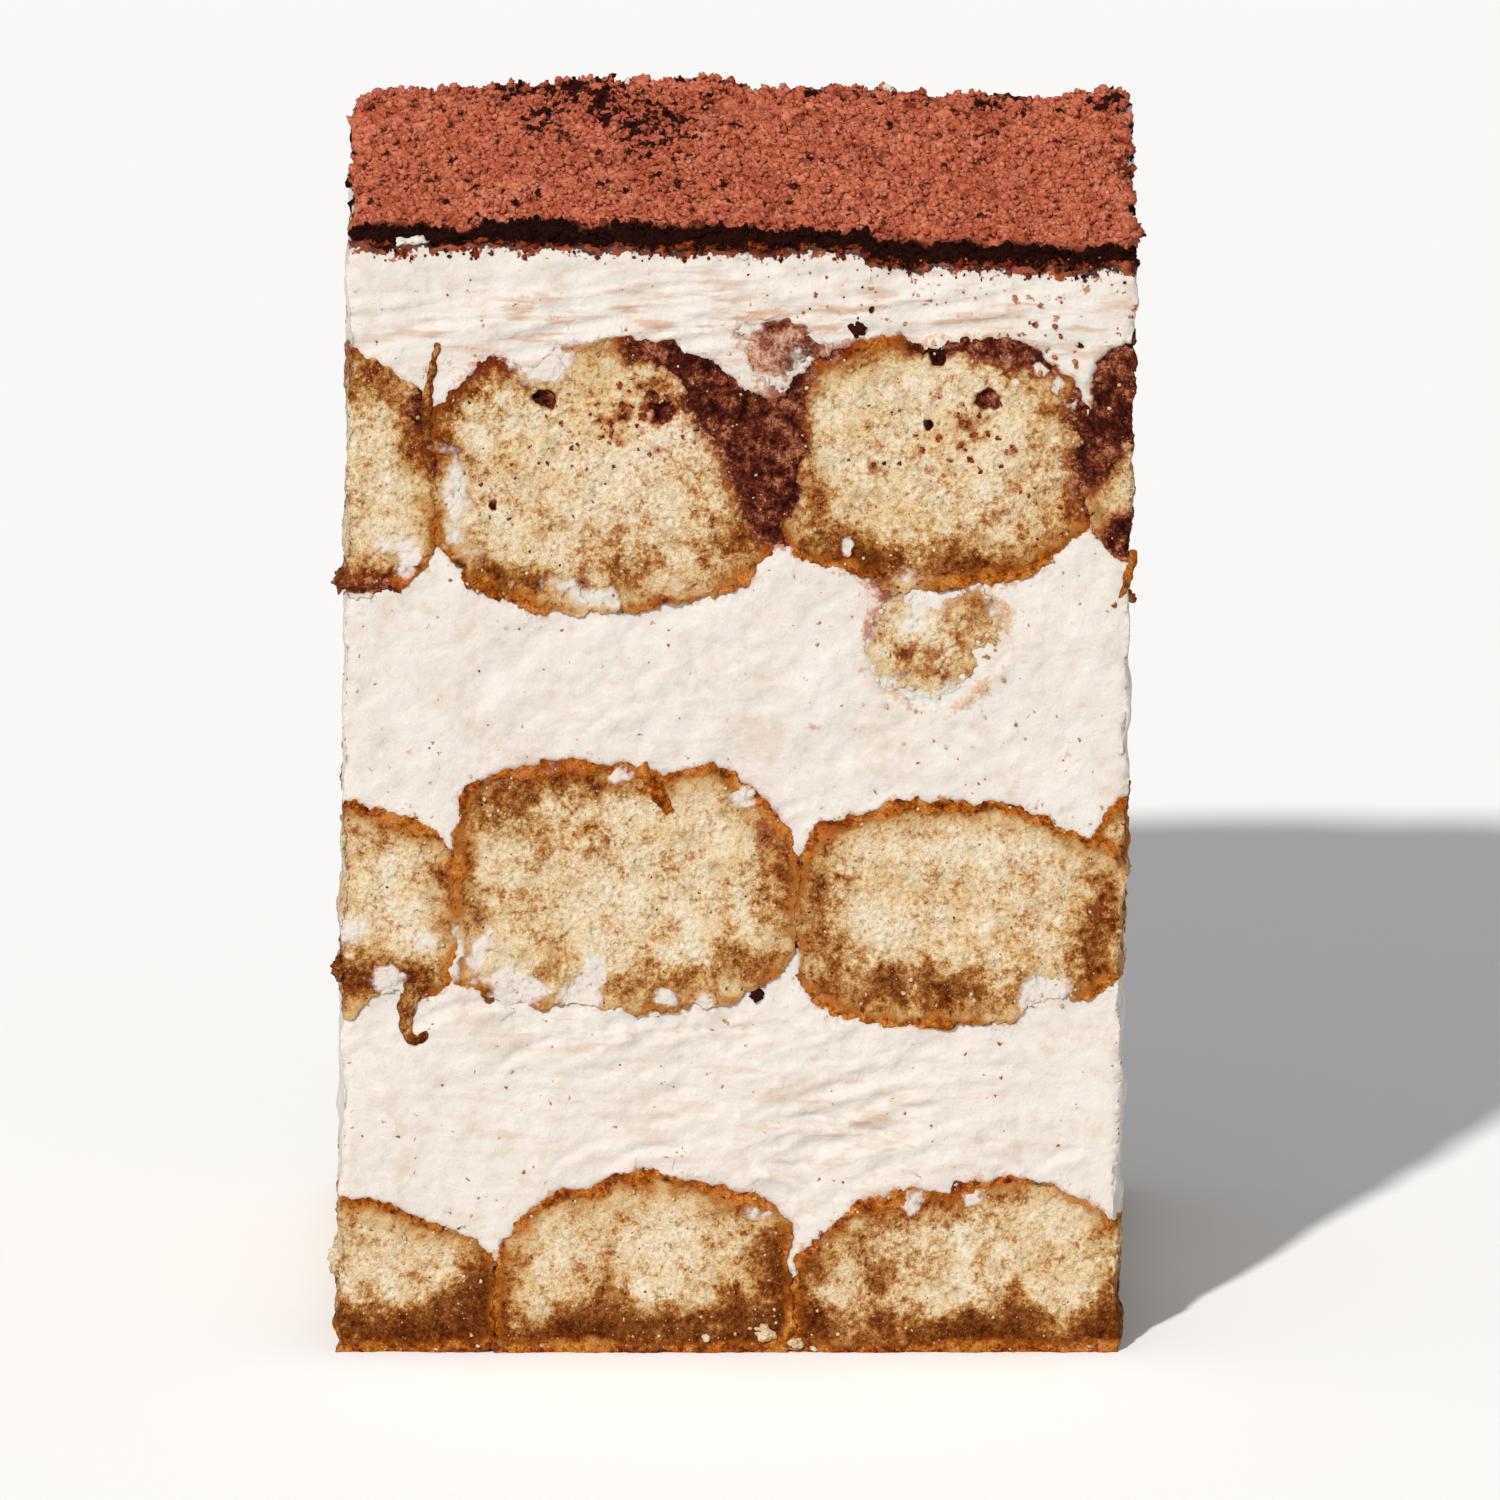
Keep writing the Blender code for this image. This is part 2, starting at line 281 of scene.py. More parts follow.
def ease_corners(piece):
    """Rounds the portion's four upright corners."""
    points = points_of(piece)
    shift = points[:, 0] - upright_x(points)
    for end, radius in ((-1.0, FRONT_CORNER), (1.0, BACK_CORNER)):
        x = np.abs(points[:, 0] - shift) - (HALF_WIDTH - radius)
        y = points[:, 1] * end - (DEPTH / 2.0 - radius)
        corner = (x > 0.0) & (y > 0.0)
        length = np.hypot(x, y)
        squeeze = np.where(corner, np.maximum(x, y) / np.maximum(length, 1e-9), 1.0)
        new_x = (HALF_WIDTH - radius) + x * squeeze
        new_y = (DEPTH / 2.0 - radius) + y * squeeze
        points[corner, 0] = (np.sign(points[:, 0] - shift) * new_x + shift)[corner]
        points[corner, 1] = (end * new_y)[corner]
    move_points(piece, points)


def relief(piece, layers, group):
    """Raises and sinks the shown surface by each pattern, and keeps the total, in mm, for the finish to paint shade
    where it sinks.
    """
    still, outward = points_of(piece), normals_of(piece)
    for texture, strength, middle in layers:
        apply_modifier(
            piece, "DISPLACE", texture=texture, texture_coords="LOCAL", strength=strength, mid_level=middle,
            vertex_group=group,
        )
    moved = points_of(piece)
    paint(piece, "relief", np.sum((moved - still) * outward, axis=1) / MM)


def stand_flat(piece):
    """Keeps everything above the plane that the portion stands on."""
    points = points_of(piece)
    points[:, 2] = np.maximum(points[:, 2], 0.0)
    move_points(piece, points)


def spots(points, box, marks):
    """Adds up soft round spots; each is (share across, share up, half width and height in mm, amount)."""
    low, high = box
    total = np.zeros(len(points))
    for across, up, half_width, half_height, amount in marks:
        x = low.x + across * (high.x - low.x)
        z = low.z + up * (high.z - low.z)
        reach = ((points[:, 0] - x) / (half_width * MM)) ** 2 + ((points[:, 2] - z) / (half_height * MM)) ** 2
        total += amount * np.exp(-reach)
    return total


def front_only(points, depth=4.0 * MM):
    """1 at the front cut, 0 from a few mm behind it."""
    return 1.0 - smooth(points[:, 1] + DEPTH / 2.0, 0.3 * depth, depth)


def skin_distance(piece, nodes):
    """How far each point is, in mm, from the crust of its finger; cut faces don't count as crust."""
    skin = bmesh.new()
    for node in nodes:
        skin.from_mesh(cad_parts[node].data)
    cut_faces = []
    for face in skin.faces:
        middle = face.calc_center_median()
        end = abs(middle.y) > DEPTH / 2.0 - 0.05 * MM
        wall = abs(middle.x - LEAN * (2.0 * middle.z / HEIGHT - 1.0)) > HALF_WIDTH - 0.15 * MM
        if end or wall:
            cut_faces.append(face)
    bmesh.ops.delete(skin, geom=cut_faces, context="FACES")
    tree = BVHTree.FromBMesh(skin)
    skin.free()
    return np.array([tree.find_nearest(point)[3] for point in points_of(piece)]) / MM


def solid_distance(points, node):
    """How far each point is, in mm, from another node's solid."""
    other = bmesh.new()
    other.from_mesh(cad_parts[node].data)
    tree = BVHTree.FromBMesh(other)
    other.free()
    return np.array([tree.find_nearest(point)[3] for point in points]) / MM


# ---------------------------------------------------------------- finishes

LAMP_LIFT = 1.42  # how much the lamps brighten a white card held against the front cut


def tint(red, green, blue):
    """A colour as it should look under the lamps, in eight-bit screen values, as the shader wants it."""
    def linear(value):
        value /= 255.0
        return (value / 12.92 if value <= 0.04045 else ((value + 0.055) / 1.055) ** 2.4) / LAMP_LIFT
    return (linear(red), linear(green), linear(blue), 1.0)


def new_finish(name, roughness, specular=0.4):
    material = bpy.data.materials.new(name)
    material.use_nodes = True
    shader = material.node_tree.nodes["Principled BSDF"]
    shader.inputs["Roughness"].default_value = roughness
    shader.inputs["Specular IOR Level"].default_value = specular
    return material, material.node_tree, shader


def put(tree, value, socket):
    """Sets a socket to a plain value, or links a node's output to it."""
    if isinstance(value, bpy.types.NodeSocket):
        tree.links.new(value, socket)
    else:
        socket.default_value = value


def place_in(tree, stretch=(1.0, 1.0, 1.0), turn=(0.0, 0.0, 0.0)):
    coordinates = tree.nodes.new("ShaderNodeTexCoord").outputs["Object"]
    if stretch == (1.0, 1.0, 1.0) and turn == (0.0, 0.0, 0.0):
        return coordinates
    mapping = tree.nodes.new("ShaderNodeMapping")
    mapping.inputs["Rotation"].default_value = turn
    mapping.inputs["Scale"].default_value = stretch
    tree.links.new(coordinates, mapping.inputs["Vector"])
    return mapping.outputs["Vector"]


def noise_on(tree, size, detail=3.0, roughness=0.55, distortion=0.0, place=None):
    """Cloudy noise with features of about that size in mm."""
    node = tree.nodes.new("ShaderNodeTexNoise")
    node.inputs["Scale"].default_value = 1.0 / (size * MM)
    node.inputs["Detail"].default_value = detail
    node.inputs["Roughness"].default_value = roughness
    node.inputs["Distortion"].default_value = distortion
    tree.links.new(place or place_in(tree), node.inputs["Vector"])
    return node.outputs["Fac"]


def cells_on(tree, size, output="Distance", randomness=1.0):
    """Cells of about that size in mm."""
    node = tree.nodes.new("ShaderNodeTexVoronoi")
    node.inputs["Scale"].default_value = 1.0 / (size * MM)
    node.inputs["Randomness"].default_value = randomness
    tree.links.new(place_in(tree), node.inputs["Vector"])
    return node.outputs[output]


def painted(tree, name):
    node = tree.nodes.new("ShaderNodeAttribute")
    node.attribute_name = name
    return node.outputs["Fac"]


def maths(tree, operation, first, second=0.0, third=0.0, clamp=False):
    node = tree.nodes.new("ShaderNodeMath")
    node.operation = operation
    node.use_clamp = clamp
    for value, socket in zip((first, second, third), node.inputs):
        put(tree, value, socket)
    return node.outputs["Value"]


def uneven(tree, base, *noises):
    """base plus each (noise, amount), where noise swings about a half."""
    total = base
    for noise, amount in noises:
        swing = maths(tree, "MULTIPLY_ADD", noise, amount, -0.5 * amount)
        total = maths(tree, "ADD", total, swing)
    return total


def step(tree, value, start, end):
    """A soft step from 0 at start to 1 at end; end may be the lower one."""
    node = tree.nodes.new("ShaderNodeMapRange")
    node.interpolation_type = "SMOOTHSTEP"
    put(tree, value, node.inputs["Value"])
    low, high = min(start, end), max(start, end)
    node.inputs["From Min"].default_value = low
    node.inputs["From Max"].default_value = high
    node.inputs["To Min"].default_value = 0.0 if start < end else 1.0
    node.inputs["To Max"].default_value = 1.0 if start < end else 0.0
    return node.outputs["Result"]


def ramped(tree, value, stops):
    node = tree.nodes.new("ShaderNodeValToRGB")
    elements = node.color_ramp.elements
    while len(elements) < len(stops):
        elements.new(0.5)
    for element, (position, colour) in zip(elements, stops):
        element.position = position
        element.color = colour
    put(tree, value, node.inputs["Fac"])
    return node.outputs["Color"]


def blended(tree, share, under, over, mode="MIX"):
    node = tree.nodes.new("ShaderNodeMix")
    node.data_type = "RGBA"
    node.blend_type = mode
    put(tree, share, node.inputs[0])
    put(tree, under, node.inputs[6])
    put(tree, over, node.inputs[7])
    return node.outputs[2]


def roughened(tree, shader, height, depth, strength=0.6):
    bump = tree.nodes.new("ShaderNodeBump")
    bump.inputs["Strength"].default_value = strength
    bump.inputs["Distance"].default_value = depth
    tree.links.new(height, bump.inputs["Height"])
    tree.links.new(bump.outputs["Normal"], shader.inputs["Normal"])


def soften(shader, weight, radius):
    """Lets light in under the surface, as in cream and damp crumb."""
    shader.inputs["Subsurface Weight"].default_value = weight
    shader.inputs["Subsurface Radius"].default_value = radius
    shader.inputs["Subsurface Scale"].default_value = 1.0


CREAM_TINT = tint(233, 225, 216)
CRUMB_TINTS = (
    (0.00, tint(240, 230, 212)),
    (0.16, tint(229, 209, 176)),
    (0.30, tint(213, 180, 134)),
    (0.44, tint(192, 142, 82)),
    (0.58, tint(162, 104, 50)),
    (0.74, tint(130, 74, 32)),
    (0.92, tint(92, 45, 18)),
)
STAINED_TINTS = (
    (0.00, tint(232, 212, 200)),
    (0.22, tint(204, 160, 146)),
    (0.42, tint(160, 102, 86)),
    (0.62, tint(118, 60, 46)),
    (0.90, tint(74, 28, 20)),
)


def crumb_finish(name, tints):
    """Sponge crumb: pale and pored inside, brown where coffee soaked it, an orange crust at the skin, with painted
    shade in its sunken parts and painted glints.
    """
    material, tree, shader = new_finish(name, roughness=0.85)
    broad = noise_on(tree, 4.0, detail=2.0)
    middle = noise_on(tree, 1.3, detail=3.0, roughness=0.6)
    fine = noise_on(tree, 0.42, detail=3.0, roughness=0.65)
    grit = noise_on(tree, 0.17, detail=1.0)

    soaked = painted(tree, "soak")
    clumps = noise_on(tree, 2.6, detail=2.0, roughness=0.6)
    drawn_up = step(tree, uneven(tree, soaked, (broad, 0.6), (clumps, 0.7), (middle, 0.4), (fine, 0.4)), 0.22, 0.86)
    swing = uneven(tree, 0.2, (broad, 0.45), (clumps, 0.15), (middle, 0.25), (fine, 0.75), (grit, 0.5))
    depth_of_soak = maths(tree, "MULTIPLY_ADD", soaked, 0.55, 0.1)
    soak = maths(tree, "MULTIPLY_ADD", drawn_up, depth_of_soak, swing)
    crumb = ramped(tree, soak, tints)
    # painted shade: the crumb is darkened where its relief sinks, in its pores and hollows
    painted_hollow_shade = step(tree, uneven(tree, painted(tree, "relief"), (fine, 0.35)), -0.12, -0.5)
    crumb = blended(tree, maths(tree, "MULTIPLY", painted_hollow_shade, 0.4), crumb, (0.60, 0.47, 0.26, 1.0), "MULTIPLY")
    amber = step(tree, noise_on(tree, 4.6, detail=2.0, distortion=0.6), 0.5, 0.66)
    crumb = blended(tree, maths(tree, "MULTIPLY", amber, 0.5), crumb, (0.93, 0.76, 0.46, 1.0), "MULTIPLY")
    open_crumb = step(tree, uneven(tree, cells_on(tree, 2.6), (middle, 0.8), (fine, 0.3)), 0.30, 0.12)
    crumb = blended(tree, maths(tree, "MULTIPLY", open_crumb, 0.5), crumb, (0.66, 0.58, 0.36, 1.0), "MULTIPLY")
    pores = maths(tree, "MULTIPLY", step(tree, cells_on(tree, 0.6), 0.34, 0.14), step(tree, middle, 0.48, 0.58))
    crumb = blended(tree, maths(tree, "MULTIPLY", pores, 0.6), crumb, (0.52, 0.36, 0.16, 1.0), "MULTIPLY")

    depth = uneven(tree, painted(tree, "rim"), (middle, 1.3), (fine, 0.9))
    thickness = maths(tree, "MULTIPLY_ADD", painted(tree, "crust"), 0.8, -0.5)
    thickness = uneven(tree, thickness, (broad, 2.0), (clumps, 1.6), (middle, 0.8))
    bite = maths(tree, "SUBTRACT", depth, thickness)
    crust = ramped(tree, uneven(tree, 0.48, (broad, 0.8), (clumps, 0.5), (middle, 1.3), (fine, 1.3), (grit, 0.7)), (
        (0.10, tint(86, 36, 10)),
        (0.34, tint(146, 70, 14)),
        (0.58, tint(186, 106, 28)),
        (0.90, tint(224, 164, 92)),
    ))
    near_crust = maths(tree, "MULTIPLY", step(tree, bite, 4.2, 1.0), 0.55)
    crumb = blended(tree, near_crust, crumb, (0.84, 0.68, 0.42, 1.0), "MULTIPLY")
    glow = maths(tree, "MULTIPLY", step(tree, bite, 2.0, 0.0), 0.8)
    crumb = blended(tree, glow, crumb, (0.80, 0.55, 0.26, 1.0), "MULTIPLY")
    crumb = blended(tree, step(tree, bite, 0.7, -0.25), crumb, crust)

    speck_reach = maths(tree, "MULTIPLY", painted(tree, "specks"), 0.36)
    speck = uneven(tree, cells_on(tree, 1.2), (fine, 0.9), (middle, 0.3))
    speck = maths(tree, "SUBTRACT", speck, speck_reach)
    halo = maths(tree, "MULTIPLY", step(tree, speck, 0.22, 0.0), step(tree, painted(tree, "specks"), 0.1, 0.9))
    crumb = blended(tree, maths(tree, "MULTIPLY", halo, 0.75), crumb, (0.86, 0.50, 0.26, 1.0), "MULTIPLY")
    rusty = ramped(tree, fine, ((0.4, tint(88, 26, 6)), (0.6, tint(168, 74, 24))))
    crumb = blended(tree, step(tree, speck, 0.06, -0.03), crumb, rusty)

    wine = uneven(tree, painted(tree, "wine"), (broad, 0.5), (clumps, 0.5), (middle, 0.9), (fine, 0.7))
    syrup = ramped(tree, uneven(tree, 0.5, (broad, 0.5), (clumps, 0.5), (middle, 1.1), (fine, 1.1), (grit, 0.5)), (
        (0.20, tint(34, 8, 6)),
        (0.42, tint(74, 27, 17)),
        (0.60, tint(112, 50, 29)),
        (0.88, tint(182, 118, 86)),
    ))
    rust = maths(tree, "MULTIPLY", step(tree, wine, 0.04, 0.42), 0.85)
    crumb = blended(tree, rust, crumb, (0.64, 0.31, 0.13, 1.0), "MULTIPLY")
    wet = step(tree, wine, 0.4, 0.58)
    crumb = blended(tree, wet, crumb, syrup)

    smear = step(tree, uneven(tree, painted(tree, "cream"), (clumps, 0.6), (middle, 0.9), (fine, 0.3)), 0.3, 0.62)
    crumb = blended(tree, maths(tree, "MULTIPLY", smear, 0.92), crumb, CREAM_TINT)

    damp = maths(tree, "MAXIMUM", step(tree, soak, 0.4, 0.75), wet)
    dark = maths(tree, "MAXIMUM", damp, step(tree, bite, 0.8, 0.0))
    # painted highlights: small bright glints, stronger where the crumb is damp
    glint = maths(tree, "MULTIPLY", step(tree, cells_on(tree, 0.5), 0.17, 0.06), step(tree, middle, 0.45, 0.6))
    glint = maths(tree, "MULTIPLY", glint, maths(tree, "MULTIPLY_ADD", damp, 0.55, 0.2))
    crumb = blended(tree, glint, crumb, tint(246, 222, 196))
    put(tree, crumb, shader.inputs["Base Color"])
    put(tree, maths(tree, "MULTIPLY_ADD", dark, -0.2, 0.24), shader.inputs["Specular IOR Level"])
    roughened(tree, shader, uneven(tree, grit, (fine, 1.0)), 0.15 * MM)
    soften(shader, 0.1, (0.9 * MM, 0.5 * MM, 0.25 * MM))
    return material


def cream_finish(name):
    """Whipped cream: warm white, faintly stained and dusted."""
    material, tree, shader = new_finish(name, roughness=0.55, specular=0.3)
    broad = noise_on(tree, 5.0, detail=2.0)
    middle = noise_on(tree, 1.1, detail=3.0)
    fine = noise_on(tree, 0.35, detail=2.0)
    colour = ramped(tree, uneven(tree, 0.5, (broad, 0.9), (middle, 0.8)), (
        (0.18, tint(224, 206, 190)),
        (0.45, CREAM_TINT),
        (0.85, tint(241, 234, 228)),
    ))
    dragged = noise_on(tree, 1.0, detail=3.0, place=place_in(tree, (0.16, 1.0, 1.0), (0.0, math.radians(8.0), 0.0)))
    dragged = maths(tree, "MULTIPLY", step(tree, dragged, 0.5, 0.66), painted(tree, "drag"))
    colour = blended(tree, dragged, colour, tint(208, 162, 130))
    stain = uneven(tree, painted(tree, "stain"), (broad, 0.4), (middle, 0.7), (fine, 0.5))
    stained = ramped(tree, stain, (
        (0.28, tint(230, 204, 190)),
        (0.42, tint(208, 160, 142)),
        (0.56, tint(160, 92, 70)),
        (0.75, tint(84, 28, 14)),
    ))
    colour = blended(tree, step(tree, stain, 0.2, 0.42), colour, stained)
    crumbs = uneven(tree, painted(tree, "crumb"), (middle, 0.9), (fine, 0.8))
    amber = ramped(tree, fine, ((0.35, tint(184, 112, 50)), (0.65, tint(222, 180, 132))))
    colour = blended(tree, maths(tree, "MULTIPLY", step(tree, crumbs, 0.3, 0.62), 0.8), colour, amber)
    rust = uneven(tree, painted(tree, "rust"), (broad, 0.8), (middle, 1.2), (fine, 1.0))
    rusty = ramped(tree, middle, ((0.42, tint(58, 16, 6)), (0.66, tint(170, 74, 24))))
    colour = blended(tree, step(tree, rust, 0.44, 0.62), colour, rusty)
    reach = maths(tree, "MULTIPLY", painted(tree, "dust"), 0.2)
    dust = step(tree, maths(tree, "SUBTRACT", uneven(tree, cells_on(tree, 1.5), (fine, 0.9)), reach), 0.07, -0.03)
    colour = blended(tree, dust, colour, ramped(tree, middle, ((0.42, tint(150, 70, 42)), (0.6, tint(206, 150, 110)))))
    put(tree, colour, shader.inputs["Base Color"])
    roughened(tree, shader, uneven(tree, fine, (middle, 1.2)), 0.16 * MM, 0.6)
    soften(shader, 0.3, (1.6 * MM, 1.1 * MM, 0.8 * MM))
    return material


def cocoa_finish(name):
    """Cocoa powder: dry and red-brown on top, almost black where the cream wets its cut edge, with painted shade where
    it sinks.
    """
    material, tree, shader = new_finish(name, roughness=0.95, specular=0.04)
    broad = noise_on(tree, 6.0, detail=2.0)
    clods = noise_on(tree, 2.6, detail=2.0)
    middle = noise_on(tree, 1.3, detail=3.0, roughness=0.65)
    fine = noise_on(tree, 0.3, detail=3.0, roughness=0.7)
    colour = ramped(tree, uneven(tree, 0.5, (broad, 0.4), (middle, 1.3), (fine, 1.2)), (
        (0.12, tint(150, 62, 38)),
        (0.45, tint(206, 106, 77)),
        (0.85, tint(242, 156, 124)),
    ))
    # painted shade: the cocoa is darkened where its relief sinks and on the lower half of each grain
    painted_hollow_shade = step(tree, uneven(tree, painted(tree, "relief"), (fine, 0.2), (middle, 0.3)), 0.0, -0.5)
    colour = blended(tree, maths(tree, "MULTIPLY", painted_hollow_shade, 0.85), colour, tint(84, 27, 12))
    pits = step(tree, uneven(tree, cells_on(tree, 2.4), (middle, 0.5), (fine, 0.2)), 0.24, 0.12)
    pits = maths(tree, "MULTIPLY", pits, step(tree, broad, 0.38, 0.52))
    colour = blended(tree, pits, colour, tint(54, 20, 14))
    damp = uneven(tree, painted(tree, "damp"), (clods, 1.6), (middle, 1.2), (fine, 0.5))
    colour = blended(tree, step(tree, damp, 0.5, 0.66), colour, tint(54, 22, 16))
    edge = uneven(tree, painted(tree, "edge"), (broad, 0.4), (middle, 0.7), (fine, 0.6))
    wet_edge = ramped(tree, fine, ((0.4, tint(20, 7, 6)), (0.68, tint(52, 20, 14))))
    colour = blended(tree, step(tree, edge, 0.2, 0.8), colour, wet_edge)
    fringe = uneven(tree, painted(tree, "fringe"), (middle, 1.6), (fine, 1.2))
    rusty = ramped(tree, uneven(tree, 0.5, (middle, 1.4), (fine, 1.2)), (
        (0.2, tint(62, 16, 8)),
        (0.55, tint(118, 42, 20)),
        (0.95, tint(180, 88, 36)),
    ))
    colour = blended(tree, step(tree, fringe, 0.45, 0.7), colour, rusty)
    put(tree, colour, shader.inputs["Base Color"])
    roughened(tree, shader, fine, 0.15 * MM, 0.7)
    return material


# ---------------------------------------------------------------- sponge fingers

